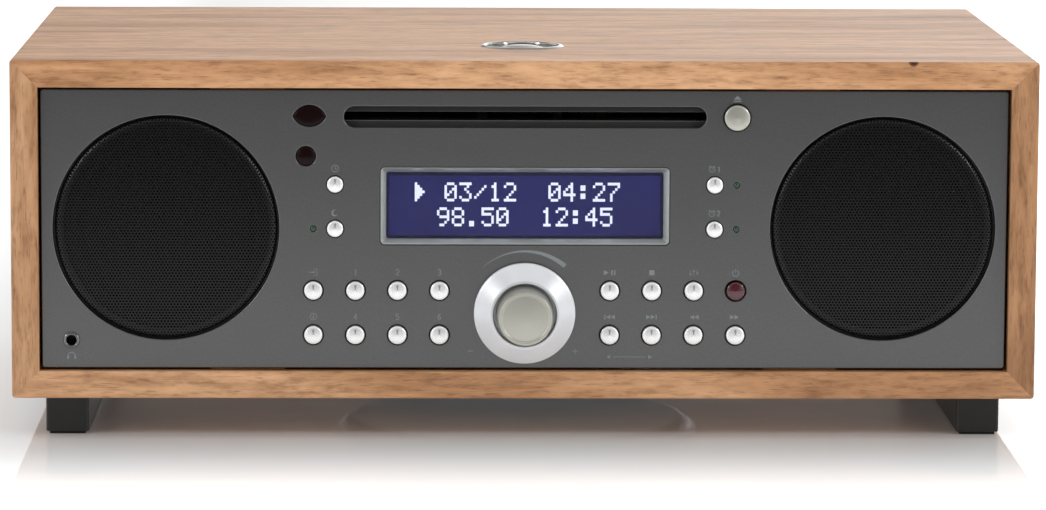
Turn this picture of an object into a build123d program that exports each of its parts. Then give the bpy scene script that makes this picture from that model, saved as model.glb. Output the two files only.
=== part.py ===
from build123d import *
import math
import os

os.makedirs("parts", exist_ok=True)

# Mini hifi system, in millimetres. +X is the user's right, +Y the back, +Z up.
# The origin is on the surface it stands on, under the middle of the whole object.

# ---------------------------------------------------------------- driving sizes
# Overall
overall_width = 358.8
overall_depth = 236.5
cabinet_top_z = 133.4
runner_height = 14.5
knob_proud = 13.0  # tuning knob in front of the cabinet's front edge
joint_gap = 0.1  # between pieces that are fitted together and do not move

# Cabinet
board = 9.6
cabinet_corner_r = 1.2
cabinet_edge_r = 0.8
runner_width = 15.0
runner_centre_x = 160.8
runner_setback = 10.5
pad_thickness = 1.0
pad_inset = 1.2
foot_screw_x = 127.0
foot_screw_setback = 112.6
foot_screw_head_r = 3.6
foot_screw_shank_r = 1.4

# Front panel
panel_recess = 2.5
panel_thickness = 3.0
panel_gap = 0.9
block_length = 26.0
block_height = 8.0
block_clearance = 5.6  # from a driver's flange to the end of a fixing block

# Full-range drivers
speaker_inset_x = 44.4  # from the cabinet's inner side to the driver's axis
speaker_lift = 0.5  # above the middle of the front panel
grille_r = 39.5
grille_thickness = 1.2
grille_proud = 0.5
grille_crown = 0.4
driver_flange_margin = 3.0
driver_flange = 3.0
driver_depth = 39.0
driver_magnet_r = 27.0

# Woofer, facing down through the bottom board
woofer_grille_margin = 11.0
woofer_grille_drop = 5.0
woofer_grille_skin = 1.2
woofer_flange_margin = 8.0
woofer_opening_r = 56.0
woofer_depth = 46.0
woofer_magnet_r = 38.0

# CD slot and the disc's path behind it
slot_below_top_board = 10.3
slot_margin = 3.3  # beside the disc
slot_height = 7.5
disc_r = 60.0
path_floor_drop = 1.1  # under the slot's middle
path_roof_rise = 3.6

# Buttons
column_inner = 29.85
column_pitch = 14.72
row_low_z = 36.75
row_pitch = 15.7
key_r = 3.2
key_clearance = 0.45
key_rise = 1.9
small_key_r = 2.85
small_key_clearance = 0.35
small_key_rise = 1.6
eject_r = 4.5
eject_clearance = 0.4
eject_beside_slot = 10.7
eject_rise = 2.2
key_travel = 0.8
key_flange = 1.2
key_flange_margin = 0.7
key_stem_r = 1.25
upper_column = 66.4
upper_row_z = 89.8
lower_row_z = 74.2
light_x = 74.0
light_r = 0.95

# Switches and boards
board_thickness = 1.6
control_board_depth = 14.0  # behind the front panel's face
control_board_margin = 6.0  # beyond the eject button's middle
switch_size = 6.0
switch_height = 3.6
switch_bore_r = 1.6
stem_engagement = 1.0
switch_spare = 1.0  # left behind a pressed stem

# Display
display_below_slot = 31.2  # from the slot's middle to the display's
bezel_width = 101.4
bezel_height = 27.4
bezel_r = 1.5
bezel_bevel = 1.9
bezel_bevel_depth = 2.0
bezel_proud = 0.3

# Sensors
ir_beside_slot = 12.05
ir_width = 11.7
ir_rise = 4.2
ir_drop = 3.5
dimmer_x = -76.6
dimmer_below_slot = 13.8
dimmer_r = 3.55

# Knobs
knob_z = 44.6
ring_r = 17.8
ring_edge_proud = 2.0
ring_rim = 0.8
ring_rim_proud = 6.5
ring_tube_wall = 3.4
knob_clearance = 1.0
plunger_clearance = 0.6
knob_base_r = 10.15
knob_face_r = 9.5
knob_bevel = 0.9
plunger_r = 3.0
knob_spigot_r = 2.0
running_gap = 0.05
encoder_half = 10.0

# Headphone socket
headphone_inset = 11.2  # from the cabinet's inner side to the socket's axis
headphone_z = 34.75
headphone_bore_r = 1.8
headphone_ring = 1.1
headphone_length = 14.9

# Snooze button
snooze_setback = 58.0
snooze_ring_proud = 0.6
snooze_ring_overhang = 1.1
snooze_tube_wall = 0.7
snooze_lip = 0.4
snooze_clearance = 0.5
snooze_cap_r = 12.4
snooze_dome_r = 8.6
snooze_travel = 1.0

# CD mechanism
chassis_margin = 10.0  # beside the disc
chassis_tail = 11.0  # behind the loaded disc
chassis_wall = 1.0
chassis_clearance = 0.5  # behind the flange of a pressed button
deck_below_slot = 13.5  # from the slot's middle to the deck's upper face
deck_thickness = 1.2
guide_thickness = 1.2
roller_setback = 13.0
roller_r = 4.0
roller_shaft_r = 1.5
disc_behind_roller = 3.0  # loaded disc's front edge behind the roller's axis
sled_travel = 36.0
sled_pinion_teeth = 18
rack_module = 0.7
train_module = 0.5
roller_gear_teeth = 24
drive_gear_teeth = 18
pressure_angle = math.radians(25)
tooth_backlash = 0.12

# Back
back_recess = 10.0
back_thickness = 3.0
socket_barrel_r = 4.15
socket_barrel = 8.0
socket_pitch = 17.0

# ---------------------------------------------------------------- derived places
half_width = overall_width / 2
front_y = -overall_depth / 2 + knob_proud
rear_y = overall_depth / 2
cabinet_bottom_z = runner_height
floor_board_z = cabinet_bottom_z + board
top_board_z = cabinet_top_z - board
inner_half = half_width - board
slot_width = 2 * (disc_r + slot_margin)
eject_x = slot_width / 2 + eject_beside_slot
ir_x = -slot_width / 2 - ir_beside_slot
control_board_half = eject_x + control_board_margin
key_hole_r = key_r + key_clearance
small_key_hole_r = small_key_r + small_key_clearance
eject_hole_r = eject_r + eject_clearance
driver_flange_r = grille_r + driver_flange_margin
woofer_flange_r = woofer_opening_r + woofer_flange_margin
woofer_grille_r = woofer_opening_r + woofer_grille_margin
ring_well_r = knob_base_r + knob_clearance
ring_rim_r = ring_well_r + ring_rim
ring_tube_bore_r = plunger_r + plunger_clearance
ring_tube_r = ring_tube_bore_r + ring_tube_wall
headphone_ring_r = headphone_bore_r + headphone_ring
headphone_x = headphone_inset - inner_half
snooze_ring_bore_r = snooze_cap_r + snooze_clearance
snooze_bore_r = snooze_ring_bore_r + snooze_lip
snooze_tube_r = snooze_bore_r + snooze_tube_wall
snooze_ring_r = snooze_tube_r + snooze_ring_overhang
panel_mid_z = (floor_board_z + top_board_z) / 2
face_y = front_y + panel_recess
panel_back_y = face_y + panel_thickness
speaker_x = inner_half - speaker_inset_x
speaker_z = panel_mid_z + speaker_lift
woofer_y = (front_y + rear_y) / 2
slot_z = top_board_z - slot_below_top_board
deck_z = slot_z - deck_below_slot
path_floor_z = slot_z - path_floor_drop
path_roof_z = slot_z + path_roof_rise
roller_y = face_y + roller_setback
disc_y = roller_y + disc_behind_roller + disc_r
chassis_half = disc_r + chassis_margin
control_y = face_y + control_board_depth
back_y = rear_y - back_recess - back_thickness
snooze_y = front_y + snooze_setback
switch_y = control_y - switch_height
row_high_z = row_low_z + row_pitch
columns = [column_inner + column_pitch * i for i in range(4)]
display_z = slot_z - display_below_slot
block_above_driver = top_board_z - block_height - speaker_z
block_below_driver = speaker_z - floor_board_z - block_height
block_off_axis = min(driver_flange_r, block_above_driver, block_below_driver)
flange_half_chord = math.sqrt(driver_flange_r**2 - block_off_axis**2)
block_x = speaker_x - flange_half_chord - block_clearance - block_length / 2


# ---------------------------------------------------------------- shape helpers
def block(x0, x1, y0, y1, z0, z1):
    """A box between two opposite corners."""
    return Pos((x0 + x1) / 2, (y0 + y1) / 2, (z0 + z1) / 2) * Box(x1 - x0, y1 - y0, z1 - z0)


def rod_x(radius, x0, x1, y, z):
    return Pos((x0 + x1) / 2, y, z) * Rot(0, 90, 0) * Cylinder(radius, x1 - x0)


def rod_y(radius, x, y0, y1, z):
    return Pos(x, (y0 + y1) / 2, z) * Rot(90, 0, 0) * Cylinder(radius, y1 - y0)


def rod_z(radius, x, y, z0, z1):
    return Pos(x, y, (z0 + z1) / 2) * Cylinder(radius, z1 - z0)


def prism_y(sketch, y0, y1):
    """A sketch drawn in X and Z, extruded from y0 back to y1."""
    return extrude(Plane.XZ.offset(-y1) * sketch, y1 - y0)


def prism_z(sketch, z0, z1):
    return extrude(Pos(0, 0, z0) * sketch, z1 - z0)


def prism_x(sketch, x0, x1):
    """A sketch drawn in Y and Z, extruded from x0 to x1."""
    return extrude(Plane.YZ.offset(x0) * sketch, x1 - x0)


def polygon(points):
    return make_face(Polyline(*points, close=True))


def turned(points):
    """A solid of revolution about Z; each point is (radius, height)."""
    return revolve(Plane.XZ * polygon(points), Axis.Z)


def turned_front(points, x, z):
    """A solid of revolution about a line along Y; each point is (radius, distance out of the panel)."""
    return Pos(x, face_y, z) * Rot(90, 0, 0) * turned(points)


def group(*solids):
    """Separate solids of one node."""
    return Compound(children=list(solids))


def gear_outline(teeth, module, phase):
    """Spur gear with involute flanks, thinned by the backlash; phase is one tooth's angle."""
    pitch_r = teeth * module / 2
    base_r = pitch_r * math.cos(pressure_angle)
    root_r = pitch_r - 1.25 * module
    tip_r = pitch_r + 0.95 * module
    pitch_half = math.pi / (2 * teeth) - tooth_backlash / (2 * pitch_r)
    involute_at_pitch = math.tan(pressure_angle) - pressure_angle
    flank = []
    for step in range(5):
        radius = base_r + (tip_r - base_r) * step / 4
        roll = math.acos(base_r / radius)
        flank.append((radius, pitch_half + involute_at_pitch - math.tan(roll) + roll))
    flank.insert(0, (min(root_r, base_r - 0.05), flank[0][1]))
    points = []
    for tooth in range(teeth):
        middle = phase + 2 * math.pi * tooth / teeth
        sides = [(r, middle - a) for r, a in flank] + [(r, middle + a) for r, a in reversed(flank)]
        points += [(r * math.cos(a), r * math.sin(a)) for r, a in sides]
    return polygon(points)


def rack_outline(pitch_x, back_x, first_y, teeth, module):
    """Straight rack with its teeth pointing to +X; first_y is the middle of its first tooth."""
    pitch = math.pi * module
    tip = 0.9 * module
    root = 1.2 * module
    half = pitch / 4 - tooth_backlash / 2
    slope = math.tan(pressure_angle)
    points = [(back_x, first_y - pitch / 2)]
    for tooth in range(teeth):
        middle = first_y + tooth * pitch
        points.append((pitch_x - root, middle - half - root * slope))
        points.append((pitch_x + tip, middle - half + tip * slope))
        points.append((pitch_x + tip, middle + half - tip * slope))
        points.append((pitch_x - root, middle + half + root * slope))
    points.append((back_x, first_y + (teeth - 0.5) * pitch))
    return polygon(points)


# ---------------------------------------------------------------- cabinet
def cabinet_boards():
    """Four boards with mitred long edges, cut from one shell whose outer edges are rounded."""
    height = cabinet_top_z - cabinet_bottom_z
    middle_z = cabinet_bottom_z + height / 2
    outline = Pos(0, middle_z) * RectangleRounded(overall_width, height, cabinet_corner_r)
    shell = prism_y(outline, front_y, rear_y)
    ends = shell.faces().filter_by(Axis.Y)
    shell = fillet(ends.edges(), cabinet_edge_r)
    shell -= block(-inner_half, inner_half, front_y - 1, rear_y + 1, floor_board_z, top_board_z)
    outer = [(-half_width, cabinet_bottom_z), (half_width, cabinet_bottom_z)]
    outer += [(half_width, cabinet_top_z), (-half_width, cabinet_top_z)]
    inner = [(-inner_half, floor_board_z), (inner_half, floor_board_z)]
    inner += [(inner_half, top_board_z), (-inner_half, top_board_z)]
    boards = []
    for side in range(4):
        following = (side + 1) % 4
        mitre = polygon([outer[side], outer[following], inner[following], inner[side]])
        boards.append(shell & prism_y(mitre, front_y, rear_y))
    return boards


def runners():
    """Two rails under the cabinet, front to back, with a soft strip under each."""
    rails = []
    strips = []
    for side in (-1, 1):
        x0 = side * runner_centre_x - runner_width / 2
        x1 = side * runner_centre_x + runner_width / 2
        y0 = front_y + runner_setback
        y1 = rear_y - runner_setback
        rail = block(x0, x1, y0, y1, pad_thickness, cabinet_bottom_z)
        low_edges = rail.edges().group_by(Axis.Z)[0]
        rails.append(fillet(low_edges, 0.6))
        x0 += pad_inset
        x1 -= pad_inset
        strips.append(block(x0, x1, y0 + pad_inset, y1 - pad_inset, 0, pad_thickness))
    return group(*rails), group(*strips)


def foot_screw(side):
    """Countersunk screw, flush with the underside, that holds a piece standing on the bottom board."""
    sink = foot_screw_head_r - foot_screw_shank_r
    points = [
        (0, 0), (foot_screw_head_r, 0), (foot_screw_shank_r, sink),
        (foot_screw_shank_r, board + 4), (0, board + 4),
    ]
    return Pos(side * foot_screw_x, front_y + foot_screw_setback, cabinet_bottom_z) * turned(points)


# ---------------------------------------------------------------- front panel
def slot_outline(width, height):
    return Pos(0, slot_z) * SlotOverall(width, height)


def eye_outline(margin):
    """Infrared window: two arcs that meet in points at the left and right."""
    half = ir_width / 2 - margin
    left = (ir_x - half, slot_z)
    right = (ir_x + half, slot_z)
    upper = ThreePointArc(left, (ir_x, slot_z + ir_rise - margin), right)
    lower = ThreePointArc(right, (ir_x, slot_z - ir_drop + margin), left)
    return make_face(Curve() + [upper, lower])


def key_places():
    """Every button on the front panel: name, x, z, radius, hole radius and rise."""
    places = [
        ("clock", -upper_column, upper_row_z),
        ("sleep", -upper_column, lower_row_z),
        ("alarm_1", upper_column, upper_row_z),
        ("alarm_2", upper_column, lower_row_z),
    ]
    keys = [(name, x, z, small_key_r, small_key_hole_r, small_key_rise) for name, x, z in places]
    grid = {
        row_high_z: ["source", "preset_1", "preset_2", "preset_3", "play", "stop", "audio", "power"],
        row_low_z: ["info", "preset_4", "preset_5", "preset_6", "previous", "next", "rewind", "forward"],
    }
    across = [-x for x in reversed(columns)] + columns
    for z, names in grid.items():
        keys += [(name, x, z, key_r, key_hole_r, key_rise) for name, x in zip(names, across)]
    keys.append(("eject", eject_x, slot_z, eject_r, eject_hole_r, eject_rise))
    return keys


def light_places():
    return [(-light_x, lower_row_z), (light_x, upper_row_z), (light_x, lower_row_z)]


def front_panel():
    width = 2 * (inner_half - panel_gap)
    height = top_board_z - floor_board_z - 2 * panel_gap
    panel = prism_y(Pos(0, panel_mid_z) * RectangleRounded(width, height, 1.0), face_y, panel_back_y)
    through = (face_y - 1, panel_back_y + 1)
    cuts = [prism_y(slot_outline(slot_width, slot_height), *through)]
    cuts.append(prism_y(eye_outline(0), *through))
    window = Pos(0, display_z) * RectangleRounded(bezel_width, bezel_height, bezel_r)
    cuts.append(prism_y(window, *through))
    holes = [(x, z, hole_r) for _, x, z, _, hole_r, _ in key_places()]
    holes += [(x, z, light_r + joint_gap) for x, z in light_places()]
    holes += [(side * speaker_x, speaker_z, grille_r) for side in (-1, 1)]
    holes.append((0, knob_z, ring_tube_r + 0.5))
    holes.append((dimmer_x, slot_z - dimmer_below_slot, dimmer_r))
    holes.append((headphone_x, headphone_z, headphone_ring_r - 0.4))
    cuts += [rod_y(radius, x, *through, z) for x, z, radius in holes]
    for cut in cuts:
        panel -= cut
    return panel


def fixing_blocks():
    """Glue blocks that the front and back panels are fixed to, with a hole for each back screw."""
    blocks = []
    for side in (-1, 1):
        x0 = side * block_x - block_length / 2
        x1 = x0 + block_length
        for z0 in (floor_board_z, top_board_z - block_height):
            blocks.append(block(x0, x1, panel_back_y, panel_back_y + 10, z0, z0 + block_height))
            rear = block(x0, x1, back_y - 10, back_y, z0, z0 + block_height)
            rear -= rod_y(1.4, side * block_x, back_y - 8, back_y, z0 + block_height / 2)
            blocks.append(rear)
    return group(*blocks)


# ---------------------------------------------------------------- drivers
def driver(flange_r, cone_r, depth, magnet_r, flange):
    """Basket, cone and magnet of one driver, facing -Z with the flange's front at height 0."""
    neck_r = magnet_r * 0.75
    magnet_z = depth * 0.62
    coil_r = cone_r * 0.3
    basket = turned([
        (cone_r + 2, 0), (flange_r, 0), (flange_r, flange), (cone_r + 5, flange),
        (neck_r + 3, magnet_z), (coil_r, magnet_z), (coil_r, magnet_z - 2),
        (neck_r + 1.5, magnet_z - 2), (cone_r + 2, flange),
    ])
    window = Box(22, cone_r * 0.42, magnet_z * 0.36)
    window = Pos((cone_r + neck_r) / 2 + 4, 0, (magnet_z + flange) / 2) * window
    for i in range(6):
        basket -= Rot(0, 0, 60 * i) * window
    cone = turned([
        (0, 3.6), (coil_r, 6.2), (cone_r - 5, 2.2), (cone_r - 2.5, 0.6), (cone_r, 2.0),
        (cone_r + 2, 2.0), (cone_r + 2, 2.8), (cone_r - 1, 2.8), (cone_r - 2.5, 1.6),
        (cone_r - 5, 3.4), (coil_r, 8.4), (coil_r - 1, magnet_z), (coil_r - 2, magnet_z),
        (coil_r - 2, 7.2), (0, 4.8),
    ])
    magnet = turned([
        (0, magnet_z), (neck_r, magnet_z), (neck_r, magnet_z + 2), (magnet_r, magnet_z + 2),
        (magnet_r, depth - 3), (magnet_r - 4, depth - 3), (magnet_r - 4, depth), (0, depth),
    ])
    return basket, cone, magnet


def all_drivers():
    """Baskets, cones and magnets of the two full-range drivers and of the woofer."""
    small = driver(driver_flange_r, grille_r - 5.5, driver_depth, driver_magnet_r, driver_flange)
    large = driver(woofer_flange_r, woofer_opening_r - 4, woofer_depth, woofer_magnet_r, driver_flange)
    places = [Pos(side * speaker_x, panel_back_y, speaker_z) * Rot(-90, 0, 0) for side in (-1, 1)]
    woofer_place = Pos(0, woofer_y, floor_board_z)
    kinds = []
    for piece, woofer_piece in zip(small, large):
        kinds.append(group(*[place * piece for place in places], woofer_place * woofer_piece))
    return kinds


def speaker_grille(side):
    """Crowned disc with a rolled edge in the panel's round opening; its fine perforation is not cut."""
    edge = grille_r - 0.6
    face = grille_proud
    skin = grille_thickness
    points = [(0, face + grille_crown), (edge - 3, face), (edge - 1.2, face - 0.7), (edge, face - 2.2)]
    points += [(edge, -panel_thickness), (edge - skin, -panel_thickness), (edge - skin, face - 2.2)]
    points += [(edge - 3, face - skin), (0, face + grille_crown - skin)]
    return turned_front(points, side * speaker_x, speaker_z)


def woofer_grille():
    """Shallow dished cover under the bottom board."""
    edge = woofer_grille_r
    skin = woofer_grille_skin
    drop = woofer_grille_drop
    points = [(0, -drop), (edge - 5, -drop), (edge - 2.5, -skin), (edge, -skin), (edge, 0)]
    points += [(edge - 4, 0), (edge - 6, skin - drop), (0, skin - drop)]
    return Pos(0, woofer_y, cabinet_bottom_z) * turned(points)


# ---------------------------------------------------------------- display and sensors
def display_bezel():
    inner_width = bezel_width - 2 * bezel_bevel - 0.4
    inner_height = bezel_height - 2 * bezel_bevel
    bevel_y = face_y - bezel_proud + bezel_bevel_depth
    flange_y = panel_back_y + 1.2
    outer = RectangleRounded(bezel_width - 2 * joint_gap, bezel_height - 2 * joint_gap, bezel_r)
    middle = Pos(0, display_z)
    bezel = prism_y(middle * outer, face_y - bezel_proud, panel_back_y)
    bezel += prism_y(middle * Rectangle(bezel_width + 6, bezel_height + 6), panel_back_y, flange_y)
    inner = RectangleRounded(inner_width, inner_height, bezel_r / 2)
    bezel -= prism_y(middle * inner, face_y - 1, flange_y + 1)
    mouth = RectangleRounded(bezel_width - 0.8, bezel_height - 0.8, bezel_r)
    front_plane = Plane.XZ.offset(-(face_y - bezel_proud))
    back_plane = Plane.XZ.offset(-bevel_y)
    bezel -= loft([front_plane * middle * mouth, back_plane * middle * inner])
    return bezel, inner_width, inner_height, flange_y


def display_stack(inner_width, inner_height, flange_y):
    """Lens that fills the bezel's opening, and the LCD module with its four spacers behind it."""
    middle = Pos(0, display_z)
    plug = RectangleRounded(inner_width - 2 * joint_gap, inner_height - 2 * joint_gap, bezel_r / 2)
    lens = prism_y(middle * plug, face_y + 2.4, flange_y)
    lens += prism_y(middle * Rectangle(bezel_width + 3, bezel_height + 3), flange_y, flange_y + 0.8)
    glass_y = flange_y + 0.8
    module = prism_y(middle * Rectangle(bezel_width + 2, bezel_height + 2), glass_y, glass_y + 2.6)
    plate = middle * Rectangle(bezel_width + 14, bezel_height + 4)
    module += prism_y(plate, glass_y + 2.6, glass_y + 4.2)
    for x in (-54, 54):
        for z in (-12, 12):
            module += rod_y(1.5, x, glass_y + 4.2, control_y, display_z + z)
    return lens, module


def sensor_windows():
    """Infrared window and the round lens of the light sensor, each with a flange behind the panel."""
    eye = prism_y(eye_outline(joint_gap), face_y + 0.4, panel_back_y)
    flange = Pos(ir_x, slot_z) * Rectangle(ir_width - 1, ir_rise + ir_drop)
    eye += prism_y(flange, panel_back_y, panel_back_y + 2)
    r = dimmer_r - joint_gap
    points = [(0, 0.5), (r * 0.5, 0.35), (r * 0.85, -0.1), (r, -0.6), (r, -panel_thickness)]
    points += [(r + 1, -panel_thickness), (r + 1, -panel_thickness - 1.5), (0, -panel_thickness - 1.5)]
    return group(eye, turned_front(points, dimmer_x, slot_z - dimmer_below_slot))


def indicator_lights():
    points = [(0, 0.4), (light_r * 0.7, 0.25), (light_r, -0.1), (light_r, -control_board_depth)]
    points += [(0, -control_board_depth)]
    return group(*[turned_front(points, x, z) for x, z in light_places()])


def headphone_socket():
    ring = headphone_ring_r
    proud = 0.9
    points = [(0, proud), (ring - 0.5, proud), (ring, proud - 0.5), (ring, 0), (ring - 0.5, 0)]
    points += [(ring - 0.5, -panel_thickness), (0, -panel_thickness)]
    socket = turned_front(points, headphone_x, headphone_z)
    back = panel_back_y + headphone_length - proud - panel_thickness + 1
    low = headphone_z - 5
    socket += block(headphone_x - 5, headphone_x + 5, panel_back_y, back, low, low + 10)
    bore_end = face_y - proud + headphone_length
    return socket - rod_y(headphone_bore_r, headphone_x, face_y - proud, bore_end, headphone_z)


# ---------------------------------------------------------------- buttons and boards
def key(x, z, radius, hole_r, rise):
    """Turned cap with a shallow cone on its face, a flange behind the panel and a long stem."""
    flange_r = hole_r + key_flange_margin
    flange_front = -panel_thickness - joint_gap
    tip = switch_height - control_board_depth - stem_engagement
    points = [
        (0, rise), (radius - 0.5, rise - 0.55), (radius, rise - 0.95), (radius, flange_front),
        (flange_r, flange_front), (flange_r, flange_front - key_flange),
        (key_stem_r, flange_front - key_flange), (key_stem_r, tip), (0, tip),
    ]
    return turned_front(points, x, z)


def switch(x, z):
    half = switch_size / 2
    body = block(x - half, x + half, switch_y, control_y, z - half, z + half)
    bore_end = switch_y + stem_engagement + key_travel + switch_spare
    return body - rod_y(switch_bore_r, x, switch_y, bore_end, z)


def control_board():
    """Board behind the front panel with one switch for each button."""
    back = control_y + board_thickness
    top = deck_z - deck_thickness - 2
    half = control_board_half
    plate = block(-half, half, control_y, back, floor_board_z + 6, top)
    ear_x = eject_x - switch_size / 2
    plate += block(ear_x, half, control_y, back, top, slot_z + 5)
    switches = [switch(x, z) for _, x, z, _, _, _ in key_places()]
    return group(plate, *switches)


def rotary_encoder():
    """Encoder body that carries the volume ring's tube and the tuning knob's plunger."""
    front = face_y + 4
    middle = front + 5
    low = knob_z - encoder_half
    body = block(-encoder_half, encoder_half, front, control_y, low, knob_z + encoder_half)
    body -= rod_y(ring_tube_r + running_gap, 0, front, middle, knob_z)
    return body - rod_y(plunger_r + running_gap, 0, middle, control_y, knob_z)


# ---------------------------------------------------------------- knobs
def volume_ring():
    floor = 1.5
    tube_end = -8.5
    points = [
        (ring_tube_bore_r, floor), (ring_well_r, floor), (ring_well_r, ring_rim_proud - 0.4),
        (ring_well_r + 0.4, ring_rim_proud), (ring_rim_r, ring_rim_proud),
        (ring_r - 0.3, ring_edge_proud), (ring_r, ring_edge_proud - 0.4), (ring_r, 0.6),
        (ring_tube_r, 0.6), (ring_tube_r, tube_end), (ring_tube_bore_r, tube_end),
    ]
    return turned_front(points, 0, knob_z)


def tune_plunger():
    """Sliding shaft that the tuning knob turns on; pushing the knob slides it in."""
    nose = 10.0
    collar = 2.4
    tail = key_travel + 0.3 - control_board_depth
    points = [
        (0, nose), (knob_spigot_r, nose), (knob_spigot_r, collar), (plunger_r, collar),
        (plunger_r, tail), (0, tail),
    ]
    return turned_front(points, 0, knob_z)


def tune_knob():
    front = knob_proud + panel_recess
    base = 2.7
    bore = knob_spigot_r + running_gap
    points = [
        (0, front - 0.15), (knob_face_r - knob_bevel, front - 0.15), (knob_face_r - knob_bevel, front),
        (knob_face_r, front - 0.7), (knob_base_r, base + 0.4), (knob_base_r - 0.4, base),
        (bore, base), (bore, 10.3), (0, 10.3),
    ]
    return turned_front(points, 0, knob_z)


# ---------------------------------------------------------------- snooze
def snooze_bezel():
    """Bright ring on the top, its tube through the top board, and the floor that holds the switch."""
    ring_top = cabinet_top_z + snooze_ring_proud
    lip = 1.0
    floor_top = top_board_z - 2.3
    points = [
        (snooze_ring_bore_r, cabinet_top_z - lip), (snooze_ring_bore_r, ring_top - 0.2),
        (snooze_ring_bore_r + 0.3, ring_top), (snooze_ring_r - 0.5, ring_top),
        (snooze_ring_r, cabinet_top_z), (snooze_tube_r, cabinet_top_z),
        (snooze_tube_r, floor_top - 1.2), (0, floor_top - 1.2), (0, floor_top),
        (snooze_bore_r, floor_top), (snooze_bore_r, cabinet_top_z - lip),
    ]
    bezel = Pos(0, snooze_y, 0) * turned(points)
    half = switch_size / 2
    top = floor_top + switch_height
    body = block(-half, half, snooze_y - half, snooze_y + half, floor_top, top)
    bore_end = top - stem_engagement - snooze_travel - switch_spare / 2
    return group(bezel, body - rod_z(switch_bore_r, 0, snooze_y, bore_end, top)), top


def snooze_button(switch_top):
    """Domed cap with a lower ledge round its dome, held under the ring's lip."""
    dome_top = cabinet_top_z + snooze_ring_proud
    ledge = cabinet_top_z - 0.8
    shoulder = cabinet_top_z - 1.1
    under = cabinet_top_z - 3.2
    cap = turned([
        (0, dome_top), (snooze_dome_r * 0.35, dome_top - 0.15), (snooze_dome_r * 0.7, dome_top - 0.62),
        (snooze_dome_r - 0.4, dome_top - 1.12), (snooze_dome_r, ledge), (snooze_cap_r, ledge),
        (snooze_cap_r, shoulder),
        (snooze_bore_r - 0.3, shoulder), (snooze_bore_r - 0.3, under), (key_stem_r, under),
        (key_stem_r, switch_top - stem_engagement), (0, switch_top - stem_engagement),
    ])
    return Pos(0, snooze_y, 0) * cap


# ---------------------------------------------------------------- CD mechanism
pressed_flange = panel_thickness + joint_gap + key_flange + key_travel
chassis_front = face_y + pressed_flange + chassis_clearance
chassis_back = disc_y + disc_r + chassis_tail
inner_back = chassis_back - chassis_wall
roller_z = path_floor_z - 0.1 - roller_r
motor_r = 5.0
motor_z = roller_z - 2.4
gear_distance = (roller_gear_teeth + drive_gear_teeth) * train_module / 2
motor_y = roller_y + math.sqrt(gear_distance**2 - (roller_z - motor_z) ** 2)
gear_angle = math.atan2(motor_z - roller_z, motor_y - roller_y)  # a roller tooth points at the motor
gear_x = -chassis_half - 4.2
gear_width = 3.0
spindle_motor_r = 12.0
spindle_motor_top = deck_z + 7.2
spindle_r = 1.0
platter_r = 14.0
rail_r = 1.0
rail_x = 13.0
rail_z = deck_z + 4.0
rail_front = disc_y + spindle_motor_r + 0.8
sled_front = rail_front + 2.4
sled_length = 18.0
sled_half = 18.0
sled_low = deck_z + 1.6
sled_top = deck_z + 7.0
lens_y = disc_y + 24.0
rack_low = deck_z + 2.2
rack_top = deck_z + 5.2
rack_pitch_x = sled_half + 4.0
pinion_pitch_r = sled_pinion_teeth * rack_module / 2
pinion_x = rack_pitch_x + pinion_pitch_r
pinion_y = sled_front + 15.0
pinion_post_r = 1.5


def cd_chassis():
    """Sheet-metal tray with bearing holes for the roller, rail ends and the sled pinion's post."""
    deck_low = deck_z - deck_thickness
    half = chassis_half
    inner = half - chassis_wall
    tray = block(-half, half, chassis_front, chassis_back, deck_low, path_roof_z)
    tray -= block(-inner, inner, chassis_front - 1, inner_back, deck_z, path_roof_z + 1)
    for x in (-44, 44):
        for y in (disc_y - 20, disc_y + 16):
            tray -= block(x - 12, x + 12, y - 12, y + 12, deck_low - 1, deck_z + 1)
    tray -= rod_x(roller_shaft_r + running_gap, -half - 1, half + 1, roller_y, roller_z)
    tray -= rod_x(1.2, -half - 1, -inner + 1, motor_y, motor_z)
    for x in (-rail_x, rail_x):
        tray += block(x - 2.5, x + 2.5, rail_front, rail_front + 1.8, deck_z, rail_z + 2.5)
        tray += rod_y(rail_r, x, rail_front + 1.8, inner_back, rail_z)
    tray += rod_z(pinion_post_r, pinion_x, pinion_y, deck_z, rack_top + 1.5)
    tray += rod_z(3.0, pinion_x, pinion_y, deck_z, rack_low - 0.2)
    return tray


def cd_top_guide():
    """Plate over the disc's path, hung from the top board by four posts."""
    top = path_roof_z + guide_thickness
    half = chassis_half
    plate = block(-half, half, chassis_front, chassis_back, path_roof_z, top)
    plate -= prism_z(Pos(0, disc_y) * Circle(22), path_roof_z - 1, top + 1)
    for x in (-half + 10, half - 10):
        for y in (chassis_front + 8, chassis_back - 8):
            plate += rod_z(4.0, x, y, top, top_board_z)
    return plate


def cd_feed_roller():
    """Rubber roller, thinner at its middle, on a steel shaft with its gear outside the left wall."""
    end = disc_r
    waist = roller_r - 0.5
    outline = [(-end, 0), (-end, roller_r), (-end / 2, waist + 0.2), (0, waist)]
    outline += [(end / 2, waist + 0.2), (end, roller_r), (end, 0)]
    roller = Pos(0, roller_y, roller_z) * revolve(polygon(outline), Axis.X)
    roller += rod_x(roller_shaft_r, gear_x, chassis_half + 0.3, roller_y, roller_z)
    teeth = gear_outline(roller_gear_teeth, train_module, gear_angle)
    return roller + prism_x(Pos(roller_y, roller_z) * teeth, gear_x, gear_x + gear_width)


def cd_drive_gear():
    """Loading motor's gear on its own short shaft."""
    gap_angle = gear_angle + math.pi + math.pi / drive_gear_teeth
    teeth = gear_outline(drive_gear_teeth, train_module, gap_angle)
    gear = prism_x(Pos(motor_y, motor_z) * teeth, gear_x, gear_x + gear_width)
    return gear + rod_x(0.8, gear_x, -chassis_half + 10, motor_y, motor_z)


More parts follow.
